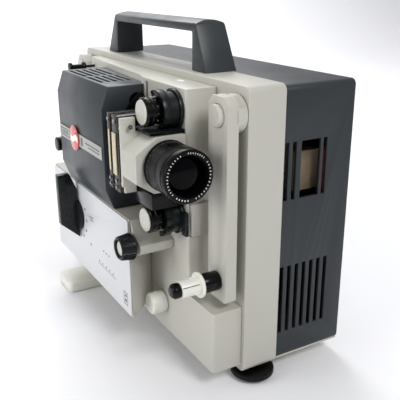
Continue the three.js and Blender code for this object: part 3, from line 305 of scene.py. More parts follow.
def make_materials(scene):
    """Every finish of the projector, by its plain name."""
    case = scene.projector_case
    controls = scene.projector_controls
    return {
        # Stove enamel on a die casting: a fine orange peel that breaks the highlights up a little
        "light_enamel": surface(
            "stove_enamel_light", case.light_enamel, 0.42, 1.1, 0.012, tone=0.025, blotch_mm=60,
            shine=0.45,
        ),
        # The same enamel in slate, glossier, with dust on it
        "slate_enamel": surface(
            "stove_enamel_slate", case.slate_enamel, 0.4, 0.9, 0.012, tone=0.06, blotch_mm=30, flecks=0.35,
            shine=0.5,
        ),
        # Spark-eroded ABS moulding: an even fine grain and a soft sheen
        "dark_moulding": surface(
            "moulded_abs_dark", case.dark_moulding, 0.46, 0.8, 0.01, tone=0.035, blotch_mm=70, flecks=0.12,
            shine=0.3,
        ),
        # Polished ABS handle: smoother than the case and worn shiny by hands
        "handle_moulding": surface(
            "moulded_abs_handle", case.handle_moulding, 0.36, 1.4, 0.006, tone=0.05, blotch_mm=25,
            shine=0.3, sockets={"Coat Weight": 0.05, "Coat Roughness": 0.3},
        ),
        # Glass-filled nylon of levers and guides: dull with a faint flow grain
        "charcoal_nylon": surface(
            "moulded_nylon_charcoal", "14181A", 0.3, 0.7, 0.012, tone=0.07, blotch_mm=12, gloss=0.08,
            shine=0.3,
        ),
        # Polished black acetal of the sprockets: almost mirror smooth, faint turning marks
        "black_acetal": surface(
            "turned_acetal_black", "050606", 0.2, 0.5, 0.003, tone=0.1, blotch_mm=9, gloss=0.05,
            shine=0.2,
        ),
        # Black anodised aluminium of the lens barrel: satin, a fine lathe grain around it
        "black_anodised": surface(
            "anodised_aluminium_black", "070708", 0.3, 0.35, 0.003, tone=0.12, blotch_mm=14,
            stretch=(1, 9, 1), shine=0.16,
        ),
        # Ivory ABS of knobs and sleeves: slightly translucent and glossy
        "ivory_plastic": surface(
            "moulded_abs_ivory", "E9E8DF", 0.33, 1.2, 0.004, tone=0.02, blotch_mm=20,
            shine=0.5, sockets={"Subsurface Weight": 0.06, "Subsurface Scale": 0.002},
        ),
        # Cream nylon of the film rails
        "cream_nylon": surface(
            "moulded_nylon_cream", "C9BFA0", 0.4, 0.6, 0.006, tone=0.06, blotch_mm=8,
            shine=0.45,
        ),
        # Screen-printed sheet of the control panel: smooth satin lacquer
        "panel_lacquer": surface(
            "lacquered_sheet_white", controls.panel_enamel, 0.34, 2.0, 0.003, tone=0.015, blotch_mm=80,
            shine=0.5,
        ),
        # Screen printing ink
        "print_ink": surface(
            "screen_ink_grey", controls.print_colour, 0.5, 0.5, 0.002, tone=0.05, blotch_mm=6
        ),
        "red_ink": surface("screen_ink_red", "D2403A", 0.5, 0.5, 0.002, tone=0.05, blotch_mm=6),
        "white_ink": surface("screen_ink_white", "F1F1EC", 0.45, 0.5, 0.002, tone=0.02, blotch_mm=6),
        # Enamelled badge: glossy and deep
        "badge_enamel": surface(
            "enamel_red", controls.badge_colour, 0.18, 1.5, 0.003, tone=0.04, blotch_mm=12,
            sockets={"Coat Weight": 0.5, "Coat Roughness": 0.06},
        ),
        # Brushed aluminium foil of the name stripe: a long grain along it
        "brushed_stripe": surface(
            "brushed_aluminium_stripe", "AFAFAA", 0.38, 0.3, 0.004, tone=0.05, blotch_mm=20,
            stretch=(1, 0.04, 1), sockets={"Metallic": 0.35},
        ),
        # Spun aluminium of the sprocket caps: pale and matt
        "satin_aluminium": surface(
            "blasted_aluminium", "C6C5BC", 0.42, 0.4, 0.004, tone=0.05, blotch_mm=8,
            sockets={"Metallic": 0.3},
        ),
        # Ground steel: shafts, screws and lamination stack
        "steel": surface(
            "ground_steel", "9A9B9D", 0.3, 0.25, 0.004, tone=0.08, blotch_mm=6, stretch=(1, 1, 6),
            sockets={"Metallic": 1.0},
        ),
        # Blued plate of the film gate: dark, satin, rubbed brighter in places
        "gate_plate": surface(
            "blued_steel_plate", "3A3732", 0.3, 0.4, 0.004, tone=0.2, blotch_mm=9, gloss=0.1,
            sockets={"Metallic": 0.75},
        ),
        "brass": surface(
            "turned_brass", "B08D4F", 0.28, 0.3, 0.004, tone=0.08, blotch_mm=6, sockets={"Metallic": 1.0}
        ),
        # Coated front glass: black inside with a cold, sharp reflection
        "coated_glass": surface(
            "coated_optical_glass", "020204", 0.05, 3.0, 0.0004, tone=0.2, blotch_mm=20, gloss=0.01,
            shine=0.08, sockets={"IOR": 1.5},
        ),
        # Clear lamp glass over its mirrored dish
        "lamp_glass": surface(
            "mirrored_lamp_glass", "D8D2BE", 0.12, 2.0, 0.002, tone=0.05, blotch_mm=10,
            sockets={"Metallic": 0.85},
        ),
        "rubber": surface(
            "moulded_rubber_black", "1A1A1A", 0.75, 0.6, 0.02, tone=0.1, blotch_mm=10,
            shine=0.3,
        ),
        # Phenolic board: brown, with a woven grain
        "circuit_board": surface(
            "phenolic_board_brown", "8A6A3C", 0.5, 0.9, 0.01, tone=0.12, blotch_mm=6, stretch=(1, 3, 1)
        ),
        # Kraft paper wound around the coil
        "coil_paper": surface(
            "kraft_paper_wrap", "A3927B", 0.7, 0.8, 0.03, tone=0.12, blotch_mm=9, stretch=(1, 1, 0.1)
        ),
        "red_film": surface("shrink_film_red", "9C2A22", 0.3, 0.8, 0.004, tone=0.06, blotch_mm=10),
        "floor": surface(
            "seamless_paper_pale", scene.projector_stage.floor, 0.8, 3.0, 0.01, tone=0.006, blotch_mm=400,
            shine=0.1,
        ),
    }


MATERIALS = {}
# On the lower guide, under the lens, this black is partly the guide's own colour and partly painted shade of
# the lens's cast shadow
GUIDE_WIDTH = 14.3  # a film guide is glossy black beyond this, in millimetres from the deck


# ---------------------------------------------------------------- places and meshes


class Place:
    """Where a CAD node stands at rest, in millimetres: low and high corners, middle and size."""

    def __init__(self, node):
        low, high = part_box(node)
        self.low = low / MM
        self.high = high / MM
        self.middle = (self.low + self.high) / 2
        self.size = self.high - self.low


def body_of(node):
    """The body a CAD node rides on."""
    return frame["nodes"][node]["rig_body"]


def add_piece(name, mesh, body, replaces=(), smooth=32):
    """Puts a finished mesh, in metres in the row frame, into the scene on its body."""
    mesh.name = name
    mesh.shade_smooth()
    mesh.set_sharp_from_angle(angle=math.radians(smooth))
    piece = bpy.data.objects.new(name, mesh)
    bpy.context.scene.collection.objects.link(piece)
    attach(piece, body)
    if replaces:
        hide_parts(*replaces)
    return piece


def to_mesh(bm, material, scale=MM):
    """Ends a bmesh in millimetres as a mesh in metres with one material."""
    bmesh.ops.scale(bm, vec=(scale,) * 3, verts=bm.verts)
    mesh = bpy.data.meshes.new("made")
    bm.to_mesh(mesh)
    bm.free()
    mesh.materials.append(MATERIALS[material])
    return mesh


def facing(axis, sign=1):
    """A matrix that turns the Z direction to an axis, or against it."""
    if axis == "x":
        return Matrix.Rotation(math.radians(90 * sign), 4, "Y")
    if axis == "y":
        return Matrix.Rotation(math.radians(-90 * sign), 4, "X")
    return Matrix.Rotation(0 if sign > 0 else math.pi, 4, "X")


def gathered(shapes):
    """One bmesh out of several, which are used up."""
    whole = bmesh.new()
    for shape in shapes:
        part = bpy.data.meshes.new("part")
        shape.to_mesh(part)
        shape.free()
        whole.from_mesh(part)
    return whole


def turned(axis, profile, centre, sides=72):
    """A closed turned shape as a bmesh: profile points are [radius, place along the axis]."""
    bm = bmesh.new()
    rings = []
    for radius, along in profile:
        if radius < 1e-6:
            rings.append([bm.verts.new((0, 0, along))])
            continue
        angles = [2 * math.pi * i / sides for i in range(sides)]
        rings.append([bm.verts.new((radius * math.cos(a), radius * math.sin(a), along)) for a in angles])
    if len(rings[0]) > 1:
        rings.append(rings[0])
    for a, b in zip(rings, rings[1:]):
        for i in range(sides):
            corners = [a[i % len(a)], a[(i + 1) % len(a)], b[(i + 1) % len(b)], b[i % len(b)]]
            kept = list(dict.fromkeys(corners))
            if len(kept) > 2:
                bm.faces.new(kept)
    bm.transform(Matrix.Translation(centre) @ facing(axis))
    bmesh.ops.recalc_face_normals(bm, faces=bm.faces)
    return bm


def slab(outline, axis, start, end):
    """A closed prism as a bmesh: the outline's two values are the other two axes, in X, Y, Z order."""
    order = {"x": (1, 2, 0), "y": (0, 2, 1), "z": (0, 1, 2)}[axis]
    bm = bmesh.new()
    layers = []
    for depth in (start, end):
        layer = []
        for u, v in outline:
            point = [0.0, 0.0, 0.0]
            point[order[0]], point[order[1]], point[order[2]] = u, v, depth
            layer.append(bm.verts.new(point))
        layers.append(layer)
    bm.faces.new(layers[0])
    bm.faces.new(layers[1][::-1])
    count = len(outline)
    for i in range(count):
        j = (i + 1) % count
        bm.faces.new([layers[0][i], layers[0][j], layers[1][j], layers[1][i]])
    bmesh.ops.recalc_face_normals(bm, faces=bm.faces)
    return bm


def rounded_outline(low_u, high_u, low_v, high_v, radius, steps=5):
    """A rectangle's outline with round corners."""
    points = []
    corners = [
        (high_u - radius, high_v - radius, 0), (low_u + radius, high_v - radius, 90),
        (low_u + radius, low_v + radius, 180), (high_u - radius, low_v + radius, 270),
    ]
    for u, v, start in corners:
        for i in range(steps + 1):
            angle = math.radians(start + 90 * i / steps)
            points.append((u + radius * math.cos(angle), v + radius * math.sin(angle)))
    return points


def printed(marks, depth, outer, steps, corner):
    """Printed marks as one bmesh, from low and high Y and Z; corner gives a mark's radius from its size."""
    bars = []
    for y0, y1, z0, z1 in marks:
        outline = rounded_outline(y0, y1, z0, z1, corner(min(y1 - y0, z1 - z0)), steps)
        bars.append(slab(outline, "x", outer, outer + depth))
    return gathered(bars)


def bevel_edges(bm, edges, width, segments=2):
    """Rounds some edges of a bmesh."""
    bmesh.ops.bevel(
        bm, geom=edges, offset=width, segments=segments, profile=0.5, affect="EDGES", clamp_overlap=True
    )


def outer_edges(bm, angle=28):
    """Convex edges that can be seen from outside the mesh."""
    tree = BVHTree.FromBMesh(bm)
    found = []
    for edge in bm.edges:
        if len(edge.link_faces) != 2 or not edge.is_convex:
            continue
        if edge.calc_face_angle(0) < math.radians(angle):
            continue
        normal = (edge.link_faces[0].normal + edge.link_faces[1].normal).normalized()
        middle = (edge.verts[0].co + edge.verts[1].co) / 2
        if tree.ray_cast(middle + normal * 0.02 * MM, normal)[0] is None:
            found.append(edge)
    return found


def cleaned(node):
    """A copy of a CAD node's mesh, in metres, with merged corners and whole flat faces."""
    bm = bmesh.new()
    bm.from_mesh(frame["nodes"][node].data)
    bmesh.ops.remove_doubles(bm, verts=bm.verts, dist=1e-6)
    bmesh.ops.dissolve_limit(
        bm, angle_limit=math.radians(0.5), use_dissolve_boundaries=False, verts=bm.verts, edges=bm.edges
    )
    bmesh.ops.recalc_face_normals(bm, faces=bm.faces)
    return bm


def soften(node, material, width, rim=None, rim_width=0.0):
    """Replaces a CAD node with a copy whose outer edges are rounded."""
    bm = cleaned(node)
    if rim:
        bevel_edges(bm, [e for e in outer_edges(bm) if rim(e)], rim_width, 4)
    if width:
        bevel_edges(bm, outer_edges(bm), width)
    mesh = bpy.data.meshes.new(node)
    bm.to_mesh(mesh)
    bm.free()
    mesh.materials.append(MATERIALS[material])
    return add_piece(f"{node}_finished", mesh, body_of(node), [node])


def finish_node(node, material):
    """Gives a CAD node that stays its material."""
    data = frame["nodes"][node].data
    data.materials.clear()
    data.materials.append(MATERIALS[material])


def on_plane(axis, value, normal_sign):
    """A rule that picks the edges of the flat face at a place along an axis, in millimetres."""
    index = "xyz".index(axis)

    def rule(edge):
        if any(abs(v.co[index] / MM - value) > 0.05 for v in edge.verts):
            return False
        normals = [f.normal[index] * normal_sign for f in edge.link_faces]
        return max(normals) > 0.9

    return rule


# ---------------------------------------------------------------- repeated shapes


def new_tree(name, inputs):
    """A geometry tree with the inputs given as (name, socket type, default)."""
    tree = bpy.data.node_groups.new(name, "GeometryNodeTree")
    tree.interface.new_socket("Geometry", in_out="INPUT", socket_type="NodeSocketGeometry")
    for title, kind, default in inputs:
        socket = tree.interface.new_socket(title, in_out="INPUT", socket_type=kind)
        if default is not None:
            socket.default_value = default
    tree.interface.new_socket("Geometry", in_out="OUTPUT", socket_type="NodeSocketGeometry")
    return tree


def end_tree(tree, instances, material):
    """Realizes a tree's instances and gives them their material."""
    solid = add_node(tree, "GeometryNodeRealizeInstances", {"Geometry": instances})
    painted = add_node(
        tree, "GeometryNodeSetMaterial", {"Geometry": solid.outputs[0], "Material": material}
    )
    add_node(tree, "NodeGroupOutput", {"Geometry": painted.outputs[0]})


def ring_tree():
    """Copies a shape along an arc in the XY plane, each turned to face outwards."""
    tree = new_tree("shapes_around_a_ring", [
        ("Shape", "NodeSocketObject", None),
        ("Count", "NodeSocketInt", 12),
        ("Radius", "NodeSocketFloat", 0.01),
        ("Start", "NodeSocketFloat", 0.0),
        ("Sweep", "NodeSocketFloat", math.pi),
        ("Material", "NodeSocketMaterial", None),
    ])
    given = add_node(tree, "NodeGroupInput").outputs
    arc = add_node(tree, "GeometryNodeCurveArc", {
        "Resolution": given["Count"], "Radius": given["Radius"], "Start Angle": given["Start"],
        "Sweep Angle": given["Sweep"],
    })
    places = add_node(tree, "GeometryNodeCurveToPoints", {"Curve": arc.outputs[0]}, mode="EVALUATED")
    place = add_node(tree, "GeometryNodeInputPosition")
    facing = add_node(
        tree, "FunctionNodeAlignRotationToVector", {"Vector": place.outputs[0]}, axis="X", pivot_axis="Z"
    )
    shape = add_node(tree, "GeometryNodeObjectInfo", {"Object": given["Shape"]})
    copies = add_node(tree, "GeometryNodeInstanceOnPoints", {
        "Points": places.outputs[0], "Instance": shape.outputs["Geometry"], "Rotation": facing.outputs[0],
    })
    end_tree(tree, copies.outputs[0], given["Material"])
    return tree


def points_tree():
    """Copies a shape onto every point of the mesh it is given."""
    tree = new_tree("shapes_on_points", [
        ("Shape", "NodeSocketObject", None),
        ("Material", "NodeSocketMaterial", None),
    ])
    given = add_node(tree, "NodeGroupInput").outputs
    shape = add_node(tree, "GeometryNodeObjectInfo", {"Object": given["Shape"]})
    copies = add_node(tree, "GeometryNodeInstanceOnPoints", {
        "Points": given["Geometry"], "Instance": shape.outputs["Geometry"],
    })
    end_tree(tree, copies.outputs[0], given["Material"])
    return tree


def row_tree():
    """Copies a shape along a straight row."""
    tree = new_tree("shapes_in_a_row", [
        ("Shape", "NodeSocketObject", None),
        ("Count", "NodeSocketInt", 5),
        ("Start", "NodeSocketVector", (0, 0, 0)),
        ("Step", "NodeSocketVector", (0, 0, 0.01)),
        ("Material", "NodeSocketMaterial", None),
    ])
    given = add_node(tree, "NodeGroupInput").outputs
    line = add_node(tree, "GeometryNodeMeshLine", {
        "Count": given["Count"], "Start Location": given["Start"], "Offset": given["Step"],
    })
    shape = add_node(tree, "GeometryNodeObjectInfo", {"Object": given["Shape"]})
    copies = add_node(tree, "GeometryNodeInstanceOnPoints", {
        "Points": line.outputs[0], "Instance": shape.outputs["Geometry"],
    })
    end_tree(tree, copies.outputs[0], given["Material"])
    return tree


TREES = {}

# Groups of plain marks around the lens: start and sweep in degrees, count, length and width of a mark
LENS_MARKS = [
    (94, 32, 5, 0.8, 0.75), (141, 106, 14, 0.75, 0.55), (268, 45, 8, 0.7, 0.5), (328, 43, 6, 0.75, 0.55),
    (20, 52, 7, 0.75, 0.6),
]


def grow(name, tree, shape, body, material, move=None, host=None, **inputs):
    """Runs a geometry tree on a shape given as a bmesh in millimetres, and keeps the result as a piece."""
    mesh = bpy.data.meshes.new("shape")
    bmesh.ops.scale(shape, vec=(MM,) * 3, verts=shape.verts)
    shape.to_mesh(mesh)
    shape.free()
    pattern = bpy.data.objects.new("pattern", mesh)
    maker = bpy.data.objects.new("maker", host or bpy.data.meshes.new("empty"))
    bpy.context.scene.collection.objects.link(pattern)
    bpy.context.scene.collection.objects.link(maker)
    values = {"Shape": pattern, "Material": MATERIALS[material], **inputs}
    if tree == "ring":
        values.setdefault("Sweep", math.tau * (1 - 1 / values["Count"]))
    modifier = maker.modifiers.new("grow", "NODES")
    modifier.node_group = TREES[tree]
    for socket in TREES[tree].interface.items_tree:
        if socket.in_out == "INPUT" and socket.name in values:
            modifier[socket.identifier] = values[socket.name]
    bpy.context.view_layer.update()
    result = bpy.data.meshes.new_from_object(maker.evaluated_get(bpy.context.evaluated_depsgraph_get()))
    maker.modifiers.clear()
    bpy.data.objects.remove(maker)
    bpy.data.objects.remove(pattern)
    if move:
        result.transform(move)
    if not result.polygons:
        raise RuntimeError(f"{name} came out empty")
    return add_piece(name, result, body, smooth=40)


def about(axis, centre):
    """A matrix that lays a ring made in the XY plane around an axis, through a point in millimetres."""
    return Matrix.Translation(Vector(centre) * MM) @ facing(axis)


def ridge(radial, around, along):
    """A small bar with a rounded crest: it stands out along X, and its foot is sunk a little."""
    outline = [
        (-radial * 0.6, -around / 2), (radial * 0.55, -around / 2), (radial, -around * 0.2),
        (radial, around * 0.2), (radial * 0.55, around / 2), (-radial * 0.6, around / 2),
    ]
    return slab(outline, "z", -along / 2, along / 2)


def screw_head(radius, height, axis, sign):
    """A slotted cheese-head screw whose head faces along an axis: a disc with two raised half moons."""
    shapes = [turned("z", [
        (0, -height * 0.4), (radius, -height * 0.4), (radius, height * 0.45), (0, height * 0.45),
    ], (0, 0, 0), sides=24)]
    gap = radius * 0.14
    start = math.asin(gap / radius)
    for side in (1, -1):
        moon = []
        for i in range(13):
            angle = start + (math.pi - 2 * start) * i / 12
            moon.append((radius * math.cos(angle), side * radius * math.sin(angle)))
        shapes.append(slab(moon, "z", height * 0.3, height))
    bm = gathered(shapes)
    bm.transform(facing(axis, sign))
    return bm


def points_mesh(points):
    """A mesh of loose points, in metres, from places in millimetres."""
    mesh = bpy.data.meshes.new("points")
    mesh.from_pydata([Vector(p) * MM for p in points], [], [])
    return mesh


# ---------------------------------------------------------------- operators


class PROJECTOR_OT_housings(bpy.types.Operator):
    """Band, rear cover, handle, deck and control panel body with rounded edges"""

    bl_idname = "projector.housings"
    bl_label = "Housings"

    def execute(self, context):
        case = context.scene.projector_case
        band = Place("main_casing")
        soften(
            "main_casing", "light_enamel", 0.5 * MM,
            rim=on_plane("x", band.low.x, -1), rim_width=case.band_radius,
        )
        cover = Place("rear_cover")
        soften(
            "rear_cover", "dark_moulding", 0.5 * MM,
            rim=on_plane("x", cover.high.x, 1), rim_width=2.0 * MM,
        )
        soften("handle", "handle_moulding", case.edge_radius * 1.2)
        soften("mechanism_deck", "light_enamel", case.edge_radius)
        soften("panel_body", "light_enamel", case.edge_radius)
        trim = slab(
            rounded_outline(cover.low.y + 1, cover.high.y - 1, cover.low.z - 0.4,
                            cover.low.z + case.trim_height / MM, 0.4, 2),
            "x", cover.low.x + 2, cover.high.x - 1,
        )
        strip = to_mesh(trim, "light_enamel")
        add_piece("cover_trim", strip, "chassis")
        return {"FINISHED"}


class PROJECTOR_OT_lamp_house(bpy.types.Operator):
    """Lamp house with its stripe, badge, and a black ring painted as the shade of a round hollow"""

    bl_idname = "projector.lamp_house"
    bl_label = "Lamp house"

    def execute(self, context):
        shell = Place("lamp_house_cover")
        soften("lamp_house_cover", "slate_enamel", 0.9 * MM)
        stripe = Place("name_stripe")
        soften("name_stripe", "brushed_stripe", 0.12 * MM)
        badge = Place("round_badge")
        soften("round_badge", "badge_enamel", 0.3 * MM)
        outer = stripe.low.x - 0.12
        box_rear = badge.middle.y + badge.size.y / 2 + 3
        box_end = stripe.high.y - 4
        low, high = stripe.low.z + 2.2, stripe.high.z - 2.2
        line = 0.9
        marks = [
            (box_rear, box_end, low, low + line), (box_rear, box_end, high - line, high),
            (box_rear, box_rear + line, low, high), (box_end - line, box_end, low, high),
        ]
        span = box_end - box_rear
        for share in (0.2, 0.38, 0.56, 0.74):
            middle = box_rear + span * share
            marks.append((middle, middle + 2.0, low + 2.0, high - 2.0))
        front = badge.middle.y - badge.size.y / 2
        marks += [(front - 9, front - 5, low, high)]
        marks += [(stripe.low.y + 6, front - 16, low + 4.4, low + 5.6)]
        marks += [(stripe.low.y + 6, front - 24, low + 1.6, low + 2.6)]
        shapes = printed(marks, 0.3, outer, 2, lambda size: 0.3)
        add_piece("stripe_print", to_mesh(shapes, "print_ink"), "lamp_house")
        wave = []
        steps = 18
        reach = badge.size.y / 2 * 0.8
        for i in range(steps + 1):
            y = badge.middle.y - reach + 2 * reach * i / steps
            wave.append((y, badge.middle.z + 2.6 + 1.6 * math.sin(math.pi * 2 * i / steps)))
        for i in range(steps, -1, -1):
            y = badge.middle.y - reach + 2 * reach * i / steps
            wave.append((y, badge.middle.z - 3.4 + 1.6 * math.sin(math.pi * 2 * i / steps)))
        face = badge.low.x - 0.1
        add_piece("badge_wave", to_mesh(slab(wave, "x", face, face + 0.3), "white_ink"), "lamp_house")
        # A black ring with a shallow dip stands 0.9 mm proud of the front, where the lamp house front is
        # dark in a round hollow: its black is painted shade of that hollow, not a real opening
        shade_ring = turned("y", [
            (0, 0), (5.0, 0), (5.4, -0.9), (7.2, -0.9), (7.2, 0.5), (0, 0.5),
        ], (shell.middle.x + 7, shell.low.y, shell.high.z - 14), sides=40)
        add_piece("cooling_recess", to_mesh(shade_ring, "black_acetal"), "lamp_house")
        for node, material in (("lamp", "lamp_glass"), ("lamp_socket", "cream_nylon")):
            finish_node(node, material)
        return {"FINISHED"}


class PROJECTOR_OT_lens(bpy.types.Operator):
    """Lens barrel, grip ribs, front ring with plain marks, and front glass"""

    bl_idname = "projector.lens"
    bl_label = "Lens"

    def execute(self, context):
        lens = context.scene.projector_lens
        bezel = Place("lens_bezel")
        ring = Place("zoom_ring")
        tube = Place("lens_tube")
        glass = Place("front_lens")
        axis = (bezel.middle.x, 0, bezel.middle.z)
        outer = bezel.size.x / 2
        inner = glass.size.x / 2 + 0.6
        front = bezel.low.y
        mouth = outer - 4.0
        cone = [
            (mouth - 0.2, front + 0.9), (mouth - 0.5, front + 0.9), (mouth - 0.6, front + 1.8),
            (mouth - 0.9, front + 1.8), (mouth - 1.0, front + 2.8),
            (inner, front + 2.8), (inner, front + 3.6),
        ]
        shape = turned("y", [
            (outer - 0.9, front), (outer - 0.3, front + 0.2), (outer, front + 0.8),
            (outer, front + 5.2), (outer - 0.5, front + 5.6), (outer - 0.5, front + 6.4),
            (outer, front + 6.8),
            (outer, bezel.high.y - 0.5), (outer - 0.3, bezel.high.y), (outer - 2.4, bezel.high.y),
            (outer - 2.4, front + 3.7), *cone[::-1], (mouth, front),
        ], axis, sides=96)
        add_piece("lens_front_ring", to_mesh(shape, "black_anodised"), "lens", ["lens_bezel"])
        length = lens.tick_length / MM
        middle = mouth + 0.35 + length / 2
        for number, (start, sweep, count, tall, wide) in enumerate(LENS_MARKS):
            half = length * tall / 2
            tick = slab([(-half, -wide / 2), (half, -wide / 2), (half, wide / 2), (-half, wide / 2)],
                        "z", -0.05, 0.06)
            grow(f"lens_marks_{number}", "ring", tick, "lens", "white_ink",
                 move=about("y", (axis[0], front, axis[2])), Count=count, Radius=middle * MM,
                 Start=math.radians(start), Sweep=math.radians(sweep))
        grip = turned("y", [
            (outer - 2.7, ring.low.y), (outer - 1.1, ring.low.y), (outer - 0.6, ring.low.y + 0.5),
            (outer - 0.6, ring.high.y - 2.6), (outer - 0.9, ring.high.y - 2.3),
            (outer - 0.9, ring.high.y - 1.7),
            (outer, ring.high.y - 1.5), (outer, ring.high.y - 0.2), (outer - 0.2, ring.high.y),
            (outer - 2.7, ring.high.y),
        ], axis, sides=96)
        add_piece("zoom_grip", to_mesh(grip, "black_anodised"), "zoom", ["zoom_ring"])
        height = lens.rib_height / MM
        rib_length = ring.size.y * 0.62
        rib = ridge(height, 0.7, rib_length)
        grow("zoom_grip_ribs", "ring", rib, "zoom", "black_anodised",
             move=about("y", (axis[0], ring.low.y + 1.0 + rib_length / 2, axis[2])),
             Count=lens.rib_count, Radius=(outer - 0.6) * MM)
        dash = slab([(-0.1, -0.3), (0.1, -0.3), (0.1, 0.3), (-0.1, 0.3)], "z", -0.9, 0.9)
        grow("zoom_scale_marks", "ring", dash, "zoom", "print_ink",
             move=about("y", (axis[0], ring.high.y - 4.6, axis[2])),
             Count=lens.scale_count, Radius=(outer - 0.6) * MM, Start=math.radians(165),
             Sweep=math.radians(100))
        barrel_radius = tube.size.x / 2
        step = tube.low.y + 9.4
        barrel = turned("y", [
            (inner - 0.3, tube.low.y), (barrel_radius, tube.low.y), (barrel_radius, ring.high.y + 0.3),
            (barrel_radius - 3.5, ring.high.y + 0.3), (barrel_radius - 3.5, tube.high.y),
            (barrel_radius - 6.4, tube.high.y), (barrel_radius - 6.4, step), (inner - 0.3, step),
        ], axis, sides=72)
        add_piece("lens_barrel", to_mesh(barrel, "black_anodised"), "lens", ["lens_tube"])
        dome = [
            (0, glass.low.y - 1.2), (glass.size.x * 0.16, glass.low.y - 1.0),
            (glass.size.x * 0.3, glass.low.y - 0.3), (glass.size.x * 0.42, glass.low.y + 0.9),
            (glass.size.x / 2, glass.low.y + 2.6), (glass.size.x / 2, glass.high.y), (0, glass.high.y),
        ]
        add_piece("front_glass", to_mesh(turned("y", dome, axis, sides=72), "coated_glass"), "lens",
                  ["front_lens"])
        return {"FINISHED"}


class PROJECTOR_OT_gate(bpy.types.Operator):
    """Lens carrier, gate plates, film rails and their screws"""

    bl_idname = "projector.gate"
    bl_label = "Film gate"

    def execute(self, context):
        film = context.scene.projector_film_path
        soften("lens_carrier", "light_enamel", 0.8 * MM)
        soften("pressure_plate", "gate_plate", 0.5 * MM)
        soften("aperture_plate", "gate_plate", 0.5 * MM)
        soften("front_film_rail", "cream_nylon", 0.2 * MM)
        soften("rear_film_rail", "cream_nylon", 0.2 * MM)
        radius = film.screw_radius / MM
        for name, node, body in (
            ("pressure_plate_screws", "pressure_plate", "lens_carriage"),
            ("aperture_plate_screws", "aperture_plate", "chassis"),
        ):
            plate = Place(node)
            places = [
                (plate.low.x - 0.2, plate.middle.y, plate.low.z + 4),
                (plate.low.x - 0.2, plate.middle.y, plate.low.z + 9.5),
                (plate.low.x - 0.2, plate.middle.y, plate.high.z - 5),
            ]
            grow(name, "points", screw_head(radius, 1.0, "x", -1), body, "steel", host=points_mesh(places))
        carrier = Place("lens_carrier")
        places = [
            (carrier.low.x + 7, carrier.high.y - 18.6, carrier.high.z - 7),
        ]
        grow("carrier_screw", "points", screw_head(radius * 1.2, 1.0, "y", -1), "lens_carriage", "steel",
             host=points_mesh(places))
        return {"FINISHED"}


class PROJECTOR_OT_film_path(bpy.types.Operator):
    """Sprockets with their teeth and caps, curved guides and the rear roller"""

    bl_idname = "projector.film_path"
    bl_label = "Film path"

    def execute(self, context):
        film = context.scene.projector_film_path
        for end in ("upper", "lower"):
            drum = Place(f"{end}_sprocket")
            cap = Place(f"{end}_sprocket_cap")
            centre = (0, cap.middle.y, cap.middle.z)
            radius = drum.size.y / 2
            left = drum.low.x
            shaft = 3.0
            track = 1.2
            shape = turned("x", [
                (0, left), (radius - 0.9, left), (radius, left + 0.9), (radius, left + 3.0),
                (radius - 0.8, left + 3.5), (radius - 0.8, left + 4.6), (radius - 0.1, left + 5.2),
                (radius - 0.1, left + 7.0), (radius - track, left + 7.6), (radius - track, left + 14.4),
                (radius - 0.1, left + 15.0), (radius - 0.1, left + 16.4), (radius - 0.6, left + 16.8),
                (shaft, left + 16.8), (shaft, drum.high.x), (0, drum.high.x),
            ], centre, sides=72)
            add_piece(f"{end}_drum", to_mesh(shape, "black_acetal"), f"{end}_drum", [f"{end}_sprocket"])
            height = film.tooth_height / MM
            tooth = slab([(-0.4, -0.55), (height * 0.6, -0.45), (height, -0.15), (height, 0.15),
                          (height * 0.6, 0.45), (-0.4, 0.55)], "z", -0.45, 0.45)
            grow(f"{end}_drum_teeth", "ring", tooth, f"{end}_drum", "steel",
                 move=about("x", (left + 8.8, centre[1], centre[2])),
                 Count=film.tooth_count, Radius=(radius - track) * MM)
            soften(f"{end}_sprocket_cap", "satin_aluminium", 0.35 * MM)
            guide = soften(f"{end}_film_guide", "charcoal_nylon", 0.4 * MM)
            # The outer part turns glossy black; on the lower guide under the lens this black is partly
            # painted shade of the lens's shadow
            guide.data.materials.append(MATERIALS["black_acetal"])
            rim = (Place(f"{end}_film_guide").high.x - GUIDE_WIDTH - 0.05) * MM
            for face in guide.data.polygons:
                face.material_index = int(face.center.x < rim)
        soften("film_roller", "black_acetal", 0.3 * MM)
        return {"FINISHED"}


class PROJECTOR_OT_reel_arms(bpy.types.Operator):
    """Both reel arms with their buttons, spindles, sleeve slits and drive keys"""

    bl_idname = "projector.reel_arms"
    bl_label = "Reel arms"

    def execute(self, context):
        for end in ("front", "rear"):
            soften(f"{end}_reel_arm", "light_enamel", 0.8 * MM)
            soften(f"{end}_arm_button", "light_enamel", 0.8 * MM)
            soften(f"{end}_spindle_core", "black_acetal", 0.5 * MM)
            sleeve = Place(f"{end}_spindle_sleeve")
            centre = (0, sleeve.middle.y, sleeve.middle.z)
            soften(f"{end}_spindle_sleeve", "ivory_plastic", 0.4 * MM)
            radius = 7.4
            length = sleeve.size.x - 4.0
            slit = slab([(-0.4, -0.3), (0.08, -0.3), (0.08, 0.3), (-0.4, 0.3)], "z", -length / 2, length / 2)
            grow(f"{end}_sleeve_slits", "ring", slit, f"{end}_spindle", "rubber",
                 move=about("x", (sleeve.low.x + length / 2 + 0.4, centre[1], centre[2])),
                 Count=3, Radius=radius * MM)
            key = ridge(1.0, 1.6, 7.0)
            grow(f"{end}_sleeve_keys", "ring", key, f"{end}_spindle", "ivory_plastic",
                 move=about("x", (sleeve.high.x - 6.0, centre[1], centre[2])) @ Matrix.Rotation(1.0, 4, "Z"),
                 Count=3, Radius=radius * MM)
        return {"FINISHED"}


